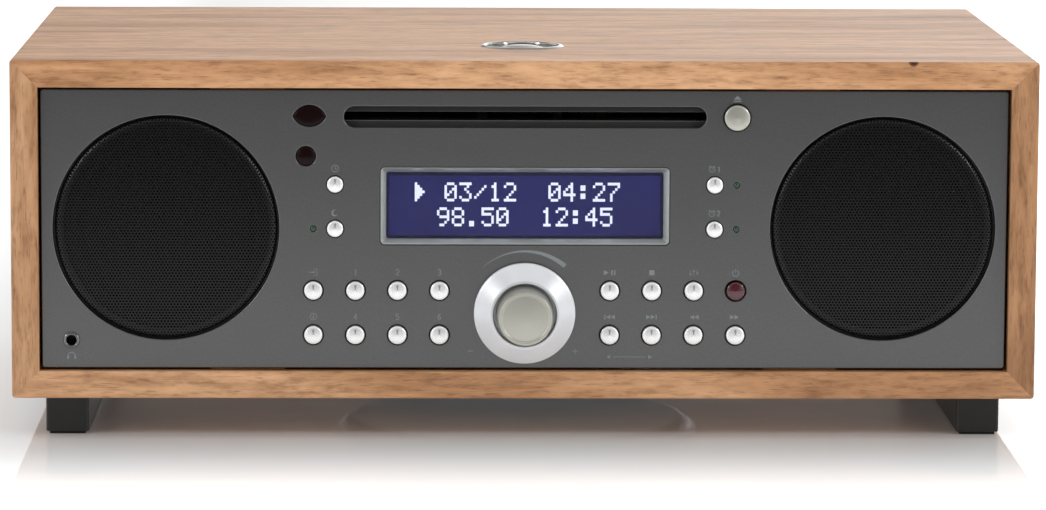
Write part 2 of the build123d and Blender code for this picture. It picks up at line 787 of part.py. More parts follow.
def cd_motors():
    """Loading motor beside the left wall and spindle motor on the deck, each bored for its shaft."""
    wall = -chassis_half + chassis_wall
    loading = rod_x(motor_r, wall, wall + 24, motor_y, motor_z)
    loading -= rod_x(0.8 + running_gap, wall, -chassis_half + 10.5, motor_y, motor_z)
    spindle = rod_z(spindle_motor_r, 0, disc_y, deck_z, spindle_motor_top)
    spindle -= rod_z(spindle_r + running_gap, 0, disc_y, deck_z + 0.8, spindle_motor_top)
    return group(loading, spindle)


def cd_turntable():
    """Platter with a centring hub on its spindle, below the disc's path."""
    low = spindle_motor_top + 1.0
    hub_top = path_floor_z - 0.4
    points = [
        (0, deck_z + 1.2), (spindle_r, deck_z + 1.2), (spindle_r, low), (platter_r, low),
        (platter_r, low + 1.4), (7.4, low + 1.4), (7.4, hub_top - 1.4), (5.4, hub_top), (0, hub_top),
    ]
    return Pos(0, disc_y, 0) * turned(points)


def cd_laser_sled():
    """Laser carriage on two rails, with its lens on top and a rack along its right side."""
    sled = block(-sled_half, sled_half, sled_front, sled_front + sled_length, sled_low, sled_top)
    for x in (-rail_x, rail_x):
        sled -= rod_y(rail_r + running_gap, x, sled_front - 1, sled_front + sled_length + 1, rail_z)
    sled += rod_z(3.5, 0, lens_y, sled_top, sled_top + 1.6)
    pitch = math.pi * rack_module
    travelled = math.ceil(sled_travel / pitch) + 1
    first = pinion_y - (travelled + 0.5) * pitch
    teeth = rack_outline(rack_pitch_x, sled_half, first, travelled + 2, rack_module)
    return sled + prism_z(teeth, rack_low, rack_top)


def cd_sled_pinion():
    teeth = gear_outline(sled_pinion_teeth, rack_module, 0)
    pinion = prism_z(Pos(pinion_x, pinion_y) * teeth, rack_low, rack_top)
    return pinion - rod_z(pinion_post_r + running_gap, pinion_x, pinion_y, rack_low - 1, rack_top + 1)


# ---------------------------------------------------------------- back and power
inlet_x = 120.0
inlet_z = 62.0
inlet_width = 26.0
inlet_height = 18.0
socket_x = -120.0
socket_low_z = 52.0
antenna_x = -60.0
antenna_r = 4.7
back_screw_edge = block_height / 2


def socket_places():
    """Line sockets in three columns of two."""
    xs = [socket_x + socket_pitch * i for i in range(3)]
    return [(x, z) for x in xs for z in (socket_low_z, socket_low_z + socket_pitch)]


def back_screw_places():
    low = floor_board_z + back_screw_edge
    high = top_board_z - back_screw_edge
    return [(side * block_x, z) for side in (-1, 1) for z in (low, high)]


def back_panel():
    """Recessed back with its socket holes and a field of cooling slots behind the transformer."""
    back = back_y + back_thickness
    half = inner_half - joint_gap
    panel = block(-half, half, back_y, back, floor_board_z + joint_gap, top_board_z - joint_gap)
    for x, z in socket_places():
        panel -= rod_y(socket_barrel_r + 1.0, x, back_y - 1, back + 1, z)
    panel -= rod_y(antenna_r + 0.8, antenna_x, back_y - 1, back + 1, socket_low_z + socket_pitch / 2)
    opening = Pos(inlet_x, inlet_z) * RectangleRounded(inlet_width, inlet_height, 3)
    panel -= prism_y(opening, back_y - 1, back + 1)
    for x, z in back_screw_places():
        panel -= rod_y(1.4, x, back_y - 1, back + 1, z)
    for i in range(9):
        slot = Pos(30 + 7 * i, panel_mid_z + 24) * SlotOverall(22, 3, rotation=90)
        panel -= prism_y(slot, back_y - 1, back + 1)
    return panel


def screws():
    """Back panel screws with round heads, and the two countersunk screws in the underside."""
    back = back_y + back_thickness
    pieces = []
    for x, z in back_screw_places():
        points = [(0, 0), (1.4, 0), (1.4, back_thickness + 7), (3, back_thickness + 7)]
        points += [(2.6, back_thickness + 8.4), (1.4, back_thickness + 9), (0, back_thickness + 9)]
        pieces.append(Pos(x, back - back_thickness - 7, z) * Rot(-90, 0, 0) * turned(points))
    pieces += [foot_screw(side) for side in (-1, 1)]
    return group(*pieces)


def rear_sockets():
    """Line sockets on one moulded block, and the antenna socket, against the panel's inside."""
    back = back_y + back_thickness
    places = socket_places()
    xs = [x for x, _ in places]
    zs = [z for _, z in places]
    edge = socket_pitch / 2
    body = block(min(xs) - edge, max(xs) + edge, back_y - 12, back_y, min(zs) - edge, max(zs) + edge)
    for x, z in places:
        body += rod_y(socket_barrel_r, x, back_y, back + socket_barrel, z)
        body -= rod_y(1.65, x, back, back + socket_barrel, z)
    antenna_z = socket_low_z + socket_pitch / 2
    antenna = rod_y(antenna_r, antenna_x, back_y - 3, back + 9, antenna_z)
    antenna += rod_y(antenna_r + 2.5, antenna_x, back_y - 3, back_y, antenna_z)
    antenna -= rod_y(2.2, antenna_x, back, back + 9, antenna_z)
    return group(body, antenna)


def mains_inlet():
    """Two-pin inlet, recessed in its own rim."""
    back = back_y + back_thickness
    middle = Pos(inlet_x, inlet_z)
    outer = middle * RectangleRounded(inlet_width - 2 * joint_gap, inlet_height - 2 * joint_gap, 3)
    rim = middle * RectangleRounded(inlet_width + 6, inlet_height + 6, 3)
    body = prism_y(outer, back_y - 12, back) + prism_y(rim, back, back + 1.5)
    body -= prism_y(middle * SlotOverall(17.0, 9.0), back - 10, back + 2)
    for x in (-4.25, 4.25):
        body += rod_y(1.2, inlet_x + x, back - 10.5, back - 1, inlet_z)
    return body


def main_board():
    """Board on four standoffs with a finned heat sink and its tall capacitors."""
    x0 = -inner_half + 12
    x1 = -woofer_flange_r - 6
    y0 = woofer_y - 20
    y1 = back_y - 14
    low = floor_board_z + 8
    top = low + board_thickness
    board_plate = block(x0, x1, y0, y1, low, top)
    for x in (x0 + 5, x1 - 5):
        for y in (y0 + 5, y1 - 5):
            board_plate += rod_z(3, x, y, floor_board_z, low)
    for i in range(6):
        y = y0 + 18 + 5 * i
        board_plate += block(x0 + 8, x0 + 40, y, y + 1.6, top, top + 26)
    board_plate += block(x0 + 8, x0 + 40, y0 + 18, y0 + 44.6, top, top + 4)
    for i in range(3):
        board_plate += rod_z(6, x1 - 14, y0 + 16 + 16 * i, top, top + 20)
    board_plate += block(x0 + 12, x0 + 30, y1 - 34, y1 - 16, top, top + 2.5)
    return board_plate


def power_transformer():
    """Laminated core with its winding and mounting feet, behind the cooling slots."""
    x = woofer_flange_r + 38
    y = (woofer_y + back_y) / 2 + 6
    z = floor_board_z
    core = block(x - 28, x + 28, y - 12, y + 12, z + 2, z + 48)
    core -= block(x - 20, x + 20, y - 13, y + 13, z + 10, z + 40)
    core += block(x - 8, x + 8, y - 12, y + 12, z + 9, z + 41)
    winding = block(x - 19.5, x + 19.5, y - 21, y + 21, z + 10.5, z + 39.5)
    winding -= block(x - 8, x + 8, y - 12, y + 12, z + 10, z + 40)
    feet = block(x - 36, x + 36, y - 12, y + 12, z, z + 2)
    return group(core + feet, winding)


# ---------------------------------------------------------------- all pieces
boards = cabinet_boards()
screw_solids = screws()
bottom_board = boards[0]
for side in (-1, 1):
    bottom_board -= foot_screw(side)
bottom_board -= rod_z(woofer_opening_r, 0, woofer_y, cabinet_bottom_z - 1, floor_board_z + 1)
top_board = boards[2] - rod_z(snooze_tube_r, 0, snooze_y, top_board_z - 1, cabinet_top_z + 1)
rails, strips = runners()
baskets, cones, magnets = all_drivers()
bezel, window_width, window_height, bezel_back_y = display_bezel()
lens, lcd = display_stack(window_width, window_height, bezel_back_y)
bezel_ring, snooze_switch_top = snooze_bezel()

pieces = {
    "cabinet_top": top_board,
    "cabinet_bottom": bottom_board,
    "cabinet_sides": group(boards[1], boards[3]),
    "runners": rails,
    "runner_pads": strips,
    "front_panel": front_panel(),
    "fixing_blocks": fixing_blocks(),
    "back_panel": back_panel(),
    "screws": screw_solids,
    "speaker_grilles": group(speaker_grille(-1), speaker_grille(1)),
    "woofer_grille": woofer_grille(),
    "driver_baskets": baskets,
    "driver_cones": cones,
    "driver_magnets": magnets,
    "display_bezel": bezel,
    "display_lens": lens,
    "lcd_module": lcd,
    "sensor_windows": sensor_windows(),
    "indicator_lights": indicator_lights(),
    "headphone_socket": headphone_socket(),
    "control_board": control_board(),
    "rotary_encoder": rotary_encoder(),
    "volume_ring": volume_ring(),
    "tune_plunger": tune_plunger(),
    "tune_knob": tune_knob(),
    "snooze_bezel": bezel_ring,
    "snooze_button": snooze_button(snooze_switch_top),
    "cd_chassis": cd_chassis(),
    "cd_top_guide": cd_top_guide(),
    "cd_feed_roller": cd_feed_roller(),
    "cd_drive_gear": cd_drive_gear(),
    "cd_motors": cd_motors(),
    "cd_turntable": cd_turntable(),
    "cd_laser_sled": cd_laser_sled(),
    "cd_sled_pinion": cd_sled_pinion(),
    "main_board": main_board(),
    "power_transformer": power_transformer(),
    "mains_inlet": mains_inlet(),
    "rear_sockets": rear_sockets(),
}
for name, x, z, radius, hole_r, rise in key_places():
    pieces["button_" + name] = key(x, z, radius, hole_r, rise)

for name, shape in pieces.items():
    export_step(shape, "parts/" + name + ".step")
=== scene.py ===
"""Looks of a mini hifi system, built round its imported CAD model.

Shapes are worked out in millimetres and scaled when their mesh is made.
"""

import math

import bmesh
import bpy
from mathutils import Matrix, Vector
from mathutils.geometry import tessellate_polygon


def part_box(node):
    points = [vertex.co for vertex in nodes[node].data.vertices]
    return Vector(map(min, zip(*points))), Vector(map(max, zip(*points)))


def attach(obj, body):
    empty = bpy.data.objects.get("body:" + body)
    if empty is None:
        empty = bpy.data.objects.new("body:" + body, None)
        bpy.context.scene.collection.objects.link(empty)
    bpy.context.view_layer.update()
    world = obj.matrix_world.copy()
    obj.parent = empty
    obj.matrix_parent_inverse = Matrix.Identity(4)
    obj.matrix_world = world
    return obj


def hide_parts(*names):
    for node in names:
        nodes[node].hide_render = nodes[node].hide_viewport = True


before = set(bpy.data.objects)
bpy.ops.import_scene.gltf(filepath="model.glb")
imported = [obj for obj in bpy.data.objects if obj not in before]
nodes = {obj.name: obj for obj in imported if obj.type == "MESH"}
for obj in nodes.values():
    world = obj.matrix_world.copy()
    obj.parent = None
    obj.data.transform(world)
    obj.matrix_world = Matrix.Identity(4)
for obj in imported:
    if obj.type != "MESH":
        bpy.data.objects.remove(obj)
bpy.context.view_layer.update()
scene = bpy.context.scene
MM = 0.001


def corners(node):
    lo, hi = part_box(node)
    return lo / MM, hi / MM


def centre(node):
    lo, hi = corners(node)
    return (lo + hi) / 2


# ---- material helpers
def rgb(red, green, blue):
    """Display levels from 0 to 255 as the linear colour that a shader takes."""
    levels = [level / 255 for level in (red, green, blue)]
    return tuple(v / 12.92 if v <= 0.04045 else ((v + 0.055) / 1.055) ** 2.4 for v in levels)


def add(tree, kind, inputs=None, **settings):
    made = tree.nodes.new("ShaderNode" + kind)
    for key, value in settings.items():
        setattr(made, key, value)
    for key, value in (inputs or {}).items():
        if isinstance(value, bpy.types.NodeSocket):
            tree.links.new(value, made.inputs[key])
        else:
            made.inputs[key].default_value = value
    return made


def ramp(tree, factor, stops):
    made = add(tree, "ValToRGB", {"Fac": factor})
    elements = made.color_ramp.elements
    elements[0].position, elements[-1].position = stops[0][0], stops[-1][0]
    for position, _ in stops[1:-1]:
        elements.new(position)
    for element, (_, colour) in zip(elements, stops):
        element.color = (*colour, 1) if hasattr(colour, "__len__") else (colour, colour, colour, 1)
    return made.outputs["Color"]


def noise(tree, vector, scale, detail=3.0, rough=0.55, distortion=0.0):
    inputs = {
        "Vector": vector, "Scale": scale, "Detail": detail, "Roughness": rough, "Distortion": distortion,
    }
    return add(tree, "TexNoise", inputs).outputs[0]


def stretched(tree, vector, scale):
    return add(tree, "Mapping", {"Vector": vector, "Scale": scale}).outputs[0]


def mixed(tree, factor, first, second, blend="MIX"):
    made = add(tree, "Mix", data_type="RGBA", blend_type=blend)
    for index, value in ((0, factor), (6, first), (7, second)):
        if isinstance(value, bpy.types.NodeSocket):
            tree.links.new(value, made.inputs[index])
        else:
            made.inputs[index].default_value = value if index == 0 else (*value, 1)
    return made.outputs[2]


def ranged(tree, value, start, end, low, high, **settings):
    """The value's way from start to end, taken as the way from low to high."""
    inputs = {"Value": value, "From Min": start, "From Max": end, "To Min": low, "To Max": high}
    return add(tree, "MapRange", inputs, **settings).outputs[0]


def spread(tree, value, low, high):
    return ranged(tree, value, 0.3, 0.7, low, high)


def maths(tree, operation, *values):
    return add(tree, "Math", dict(enumerate(values)), operation=operation).outputs[0]


def vectors(tree, operation, *values):
    """Result of a vector operation; a length or a dot product is a number."""
    result = "Value" if operation in ("LENGTH", "DOT_PRODUCT") else "Vector"
    return add(tree, "VectorMath", dict(enumerate(values)), operation=operation).outputs[result]


def blank():
    """A material with only its output and a Principled shader."""
    material = bpy.data.materials.new("blank")
    material.use_nodes = True
    tree = material.node_tree
    tree.nodes.clear()
    shader = add(tree, "BsdfPrincipled")
    add(tree, "OutputMaterial", {"Surface": shader.outputs[0]})
    place = add(tree, "TexCoord").outputs["Object"]
    return material, tree, shader, place


def bump(tree, height, distance, strength=1.0):
    return add(tree, "Bump", {"Height": height, "Distance": distance, "Strength": strength}).outputs[0]


def set_shader(shader, **sockets):
    """Sets or links the shader's sockets; a name has underscores for its spaces."""
    for key, value in sockets.items():
        socket = shader.inputs[key.replace("_", " ")]
        if isinstance(value, bpy.types.NodeSocket):
            shader.id_data.links.new(value, socket)
        else:
            socket.default_value = value


def tinted(colour, share):
    return tuple(min(1.0, c * (1 + share)) for c in colour)


def plain(colour, roughness, grain=2200, depth=6e-6, mottle=0.07, lines=None, speckle=0.0, **sockets):
    """Moulded, painted or cast surface: soft tone changes, fine grain, and brushed lines if given."""
    material, tree, shader, place = blank()
    tone = noise(tree, place, 45, 4)
    fine = noise(tree, stretched(tree, place, lines) if lines else place, 1 if lines else grain, 3)
    colours = ramp(tree, tone, [(0.3, tinted(colour, -mottle)), (0.7, tinted(colour, mottle))])
    if speckle:
        grey = noise(tree, place, 1400, 2, 0.6)
        flecks = ramp(tree, grey, [(0.35, 1 - speckle), (0.65, 1.0)])
        colours = mixed(tree, 1.0, colours, flecks, "MULTIPLY")
    rough = spread(tree, fine, roughness - 0.05, roughness + 0.05)
    set_shader(shader, Base_Color=colours, Roughness=rough, Normal=bump(tree, fine, depth), **sockets)
    return material


def turned(colour, roughness, rings=5200, depth=2.5e-6, mottle=0.05, metal=1.0, painted_reflection_wedge=False, **sockets):
    """Metal turned on a lathe: fine rings about the piece's own axis, and, if asked, a painted reflection: a dark
    wedge from the centre upwards.
    """
    material, tree, shader, place = blank()
    flat = vectors(tree, "MULTIPLY", place, (1, 1, 0))
    radius = vectors(tree, "LENGTH", flat)
    ring = add(tree, "TexNoise", {"W": radius, "Scale": rings, "Detail": 3.0}, noise_dimensions="1D").outputs[0]
    tone = noise(tree, place, 160, 2)
    colours = ramp(tree, ring, [(0.3, tinted(colour, -mottle)), (0.7, tinted(colour, mottle))])
    shade = ramp(tree, tone, [(0.3, 0.95), (0.7, 1.0)])
    colours = mixed(tree, 1.0, colours, shade, "MULTIPLY")
    # Painted reflection: a dark wedge from the centre upwards, standing in for the turned cone mirroring the dark
    # strip of the studio
    if painted_reflection_wedge:
        split = add(tree, "SeparateXYZ", {0: flat})
        angle = maths(tree, "ABSOLUTE", maths(tree, "ARCTAN2", split.outputs["X"], split.outputs["Y"]))
        dark = ramp(tree, angle, [(0.10, 0.42), (0.34, 1.0)])
        share = maths(tree, "MULTIPLY", radius, 400.0)
        inside = ramp(tree, share, [(0.0, 0.3), (0.25, 1.0), (0.72, 1.0), (0.95, 0.0)])
        colours = mixed(tree, inside, colours, mixed(tree, 1.0, colours, dark, "MULTIPLY"))
    rough = spread(tree, ring, roughness - 0.04, roughness + 0.04)
    tangent = add(tree, "Tangent", direction_type="RADIAL", axis="Z").outputs[0]
    set_shader(shader, Base_Color=colours, Roughness=rough, Normal=bump(tree, ring, depth), Tangent=tangent,
               Metallic=metal, **sockets)
    return material


def wood(grain_scale, knot=None, lift=1.0):
    """Satin veneer with its grain along the axis that is 1 in grain_scale, and a dark knot if given."""
    material, tree, shader, place = blank()
    wander = add(tree, "TexNoise", {"Vector": place, "Scale": 9.0, "Detail": 2.0}).outputs["Color"]
    shift = add(tree, "VectorMath", {0: wander, "Scale": 0.006}, operation="SCALE").outputs[0]
    bent = vectors(tree, "ADD", place, shift)

    def along(length, across):
        return stretched(tree, bent, [length if s == 1 else across for s in grain_scale])

    broad = noise(tree, along(5, 42), 1, 5, 0.6, 0.35)
    streak = noise(tree, along(45, 270), 1, 6, 0.68)
    fleck = noise(tree, along(85, 900), 1, 3, 0.5)
    dash = noise(tree, along(110, 480), 1, 4, 0.6)
    pore = noise(tree, along(150, 2600), 1, 2, 0.5)
    tones = ramp(tree, broad, [
        (0.30, rgb(148, 104, 69)), (0.45, rgb(183, 136, 96)),
        (0.57, rgb(206, 160, 120)), (0.70, rgb(164, 117, 79)),
    ])
    tones = mixed(tree, 1.0, tones, (lift, lift, lift), "MULTIPLY")
    for share, detail, stops in (
        (0.9, streak, [(0.32, (0.64, 0.57, 0.50)), (0.47, (0.96, 0.94, 0.92)), (0.64, 1.12)]),
        (1.0, fleck, [(0.62, 1.0), (0.75, (1.16, 1.13, 1.10))]),
        (0.9, dash, [(0.34, (0.74, 0.69, 0.64)), (0.46, 1.0), (0.66, 1.10)]),
        (0.8, pore, [(0.30, (0.60, 0.52, 0.46)), (0.40, 1.0)]),
    ):
        marked = ramp(tree, detail, stops)
        tones = mixed(tree, share, tones, marked, "MULTIPLY")
    if knot:
        spot, size = knot
        away = vectors(tree, "SUBTRACT", place, [c * MM for c in spot])
        away = vectors(tree, "MULTIPLY", away, [1 / (s * MM) for s in size])
        reach = vectors(tree, "LENGTH", away)
        dark = ramp(tree, reach, [(0.5, (0.10, 0.06, 0.04)), (0.8, (0.40, 0.30, 0.24)), (1.0, 1.0)])
        tones = mixed(tree, 1.0, tones, dark, "MULTIPLY")
    grooves = mixed(tree, 0.5, marked, ramp(tree, streak, [(0.3, 0.2), (0.6, 0.8)]))
    set_shader(shader, Base_Color=tones, Roughness=spread(tree, streak, 0.36, 0.48),
               Normal=bump(tree, grooves, 1.6e-5), Specular_IOR_Level=0.42)
    return material


def glass(colour, roughness, **sockets):
    """Clear or dark tinted plastic with faint waviness."""
    material, tree, shader, place = blank()
    wave = noise(tree, place, 90, 2)
    tint = ramp(tree, wave, [(0.3, tinted(colour, -0.04)), (0.7, colour)])
    rough = spread(tree, noise(tree, place, 700, 2), roughness, roughness + 0.03)
    set_shader(shader, Base_Color=tint, Roughness=rough, Normal=bump(tree, wave, 4e-6), **sockets)
    return material


def lit(low, high, strength, grid=None):
    """Glowing face of the display: an uneven backlight, and a fine cell grid of the given pitch."""
    material, tree, shader, place = blank()
    glow = ramp(tree, noise(tree, place, 22, 2), [(0.3, low), (0.7, high)])
    if grid:
        cells = add(tree, "TexBrick", {
            "Vector": place,
            "Color1": (1, 1, 1, 1), "Color2": (0.97, 0.97, 0.97, 1), "Mortar": (0.86, 0.86, 0.86, 1),
            "Scale": 1.0, "Mortar Size": grid * 0.06, "Brick Width": grid, "Row Height": grid * 1.1,
        }, offset=0.0).outputs["Color"]
        glow = mixed(tree, 1.0, glow, cells, "MULTIPLY")
    set_shader(shader, Emission_Color=glow, Emission_Strength=strength, Base_Color=(0.012, 0.012, 0.02, 1),
               Roughness=0.5)
    return material


# ---- materials, by the record's slots
side_knot = ((135.2, -105.2, 133.6), (2.0, 2.4, 2.0))  # centre and radii of the knot in the top's front edge
materials = {
    "wood": wood((1, 0, 0), side_knot, 1.08),
    "wood_upright": wood((0, 0, 1), lift=0.9),
    "wood_blocks": wood((1, 0, 0)),
    "black_runner": plain(rgb(27, 27, 27), 0.42, 1500, 1.2e-5),
    "rubber_pad": plain(rgb(28, 28, 28), 0.8, 900, 2e-5),
    "panel_grey": plain(rgb(50, 50, 52), 0.33, 2600, 5e-6, 0.08, speckle=0.6, IOR=1.7, Specular_IOR_Level=1.0),
    "back_black": plain(rgb(30, 30, 31), 0.55, 1100, 2.5e-5),
    "screw_steel": plain(rgb(34, 34, 36), 0.38, 2600, 6e-6, Metallic=0.8),
    "grille_black": plain(rgb(12, 12, 14), 0.28, 3000, 3e-6, Specular_IOR_Level=0.4),
    "basket_steel": plain(rgb(60, 60, 62), 0.4, 1800, 8e-6, Metallic=0.8),
    "cone_black": plain(rgb(10, 10, 11), 0.75, 900, 3e-5),
    "magnet_iron": plain(rgb(70, 72, 76), 0.45, 1200, 1.5e-5, Metallic=0.9),
    "bezel_grey": plain(rgb(182, 186, 184), 0.34, lines=(60, 4200, 4200), depth=4e-6, Metallic=0.9),
    "display_glass": glass((0.96, 0.97, 1.0), 0.02, Transmission_Weight=1.0, IOR=1.49, Specular_IOR_Level=0.3),
    "lcd_blue": lit(rgb(34, 34, 94), rgb(40, 39, 104), 0.9, 0.0011),
    # Dim glow of the display's border, with a painted shadow of the bezel along its top
    "lcd_border_and_painted_shadow": lit(rgb(18, 17, 46), rgb(24, 22, 56), 0.7),
    "lcd_white": lit(rgb(222, 226, 246), rgb(236, 240, 254), 1.25),
    "dark_window": glass(rgb(22, 7, 8), 0.2, IOR=1.40, Specular_IOR_Level=0.18),
    "light_green": glass(rgb(26, 70, 42), 0.2, IOR=1.5, Coat_Weight=0.3),
    "chrome": turned(rgb(196, 194, 190), 0.16, 7000, 8e-7),
    "circuit_green": plain(rgb(22, 66, 40), 0.4, 500, 2e-5, 0.2),
    "encoder_plastic": plain(rgb(34, 40, 60), 0.5),
    "ring_silver": turned(rgb(230, 232, 236), 0.36, 6400, 1.2e-6, 0.03, 0.35),
    "steel_shaft": turned(rgb(176, 178, 182), 0.24, 5200, 2e-6),
    "knob_champagne": turned(rgb(190, 190, 180), 0.36, 4200, 1.5e-6, 0.05, 0.7, Anisotropic=0.3),
    "snooze_satin": turned(rgb(122, 118, 112), 0.16, 5200, 2e-6, Anisotropic=0.5),
    "sheet_steel": plain(rgb(150, 152, 156), 0.38, lines=(900, 60, 900), depth=5e-6, Metallic=0.9),
    "roller_rubber": plain(rgb(30, 30, 30), 0.85, 1300, 2e-5),
    "white_plastic": plain(rgb(214, 212, 204), 0.42, 1300, 1e-5, 0.04),
    "black_plastic": plain(rgb(26, 26, 27), 0.4, 1500, 1.2e-5),
    "phone_steel": turned(rgb(118, 119, 121), 0.26, 5200, 2e-6),
    "socket_metal": turned(rgb(206, 202, 190), 0.2, 3200, 2e-6),
    # The keys' dark wedge is a painted reflection
    "key_silver": turned(rgb(250, 250, 250), 0.28, 6400, 1.5e-6, 0.03, 0.5, painted_reflection_wedge=True, Anisotropic=0.8),
    "power_red": plain(rgb(74, 16, 30), 0.22, 2200, 2e-6, 0.06, Coat_Weight=0.8, Coat_Roughness=0.08),
    "printed_grey": plain(rgb(128, 134, 136), 0.5, 2600, 2e-6),
    "socket_red": plain(rgb(176, 28, 30), 0.35, 1300, 8e-6),
    "socket_white": plain(rgb(222, 220, 214), 0.35, 1300, 8e-6),
    "felt_black": plain(rgb(34, 34, 33), 0.95, 3200, 9e-5, Sheen_Weight=0.3),
}
for slot, material in materials.items():
    material.name = slot


# ---- shape helpers
def soften(profile, closed=False):
    """Rounds each corner that has a third number, its radius."""
    made = []
    count = len(profile)
    for i, point in enumerate(profile):
        end = not closed and i in (0, count - 1)
        if len(point) < 3 or end:
            made.append(tuple(point[:2]))
            continue
        before, here, after = (Vector(profile[j % count][:2]) for j in (i - 1, i, i + 1))
        back, on = before - here, after - here
        reach = min(point[2], back.length * 0.49, on.length * 0.49)
        start, finish = here + back.normalized() * reach, here + on.normalized() * reach
        for k in range(6):
            t = k / 5
            made.append(tuple(start * (1 - t) ** 2 + here * (2 * t * (1 - t)) + finish * t * t))
    return made


def lathe(profile, steps=72, at=(0, 0), kind=0, closed=False):
    """Turned shape about an axis along z; the profile holds (radius, height)."""
    points, rings = [], []
    for radius, height in soften(profile, closed):
        first = len(points)
        if radius < 1e-6:
            points.append((at[0], at[1], height))
        else:
            turns = [2 * math.pi * i / steps for i in range(steps)]
            points += [(at[0] + radius * math.cos(a), at[1] + radius * math.sin(a), height) for a in turns]
        rings.append(list(range(first, len(points))))
    faces = []
    for a, b in zip(rings, rings[1:] + (rings[:1] if closed else [])):
        for i in range(steps):
            j = (i + 1) % steps
            face = [a[i % len(a)], a[j % len(a)], b[j % len(b)], b[i % len(b)]]
            face = list(dict.fromkeys(face))
            if len(face) > 2:
                faces.append(face)
    return points, faces, kind


def circle(x, y, radius, steps=48):
    turns = [2 * math.pi * i / steps for i in range(steps)]
    return [(x + radius * math.cos(a), y + radius * math.sin(a)) for a in turns]


def rounded(x, y, width, height, radius, steps=6):
    made = []
    for quarter, (sx, sy) in enumerate(((1, 1), (-1, 1), (-1, -1), (1, -1))):
        cx, cy = x + sx * (width / 2 - radius), y + sy * (height / 2 - radius)
        for k in range(steps + 1):
            a = math.pi / 2 * (quarter + k / steps)
            made.append((cx + radius * math.cos(a), cy + radius * math.sin(a)))
    return made


def loft(loops, kind=0, closed=False, caps=False):
    """Skin over loops of equally many (x, y, z) points."""
    points = [p for loop in loops for p in loop]
    size = len(loops[0])
    rows = [list(range(i * size, (i + 1) * size)) for i in range(len(loops))]
    faces = []
    for a, b in zip(rows, rows[1:] + (rows[:1] if closed else [])):
        faces += [[a[i], a[(i + 1) % size], b[(i + 1) % size], b[i]] for i in range(size)]
    if caps:
        faces += [rows[0][::-1], rows[-1]]
    return points, faces, kind


def offset_loop(loop, distance):
    """Anticlockwise loop moved inwards by the distance."""
    made = []
    count = len(loop)
    for i in range(count):
        a, b, c = (Vector(loop[j % count]) for j in (i - 1, i, i + 1))
        u, v = (b - a).normalized(), (c - b).normalized()
        left = Vector((-u.y - v.y, u.x + v.x))
        if left.length < 1e-9:
            left = Vector((-u.y, u.x))
        left.normalize()
        lean = max(0.5, left.dot(Vector((-u.y, u.x))))
        made.append(tuple(b + left * (distance / lean)))
    return made


def plate(outer, holes, back, front, bevel=0.25, kind=0, rounds=3):
    """Flat shape between two heights; its front edges, and those of its holes, are rounded."""
    loops = [(outer, 1)] + [(hole, -1) for hole in holes]
    levels = [(0.0, back)]
    if bevel:
        turns = [math.pi / 2 * k / rounds for k in range(rounds + 1)]
        levels += [(bevel * (1 - math.cos(a)), front - bevel * (1 - math.sin(a))) for a in turns]
    else:
        levels.append((0.0, front))
    points, faces, rows = [], [], []
    for loop, side in loops:
        own = []
        for inset, height in levels:
            own.append(list(range(len(points), len(points) + len(loop))))
            points += [(x, y, height) for x, y in offset_loop(loop, inset * side)]
        rows.append(own)
        size = len(loop)
        for a, b in zip(own, own[1:]):
            faces += [[a[i], a[(i + 1) % size], b[(i + 1) % size], b[i]] for i in range(size)]
    for level in (0, -1):
        index = [i for own in rows for i in own[level]]
        polygons = [[Vector(points[i]) for i in own[level]] for own in rows]
        faces += [[index[i] for i in triangle] for triangle in tessellate_polygon(polygons)]
    return points, faces, kind


def bar(low, high, bevel=0.4, kind=0, segments=2):
    """Block between two corners with rounded edges."""
    bm = bmesh.new()
    bmesh.ops.create_cube(bm, size=1)
    for v in bm.verts:
        v.co = Vector([(a + b) / 2 + c * (b - a) for a, b, c in zip(low, high, v.co)])
    if bevel:
        bmesh.ops.bevel(bm, geom=bm.edges[:], offset=bevel, segments=segments, profile=0.5, affect="EDGES")
    bm.verts.index_update()
    made = [tuple(v.co) for v in bm.verts], [[v.index for v in f.verts] for f in bm.faces], kind
    bm.free()
    return made


def ribbon(line, width, low, high, kind=0):
    """Narrow strip along a line of (x, y) points; the width may be one number or one for each point."""
    widths = width if hasattr(width, "__len__") else [width] * len(line)
    points, faces = [], []
    for i, (here, wide) in enumerate(zip(line, widths)):
        before, after = Vector(line[max(i - 1, 0)]), Vector(line[min(i + 1, len(line) - 1)])
        way = (after - before).normalized()
        side = Vector((-way.y, way.x)) * wide / 2
        for sign in (1, -1):
            spot = Vector(here) + side * sign
            points += [(spot.x, spot.y, low), (spot.x, spot.y, high)]
    for i in range(len(line) - 1):
        a, b = 4 * i, 4 * i + 4
        for p, q in ((1, 3), (3, 2), (2, 0), (0, 1)):
            faces.append([a + p, a + q, b + q, b + p])
    last = 4 * (len(line) - 1)
    faces += [[0, 2, 3, 1], [last, last + 1, last + 3, last + 2]]
    return points, faces, kind


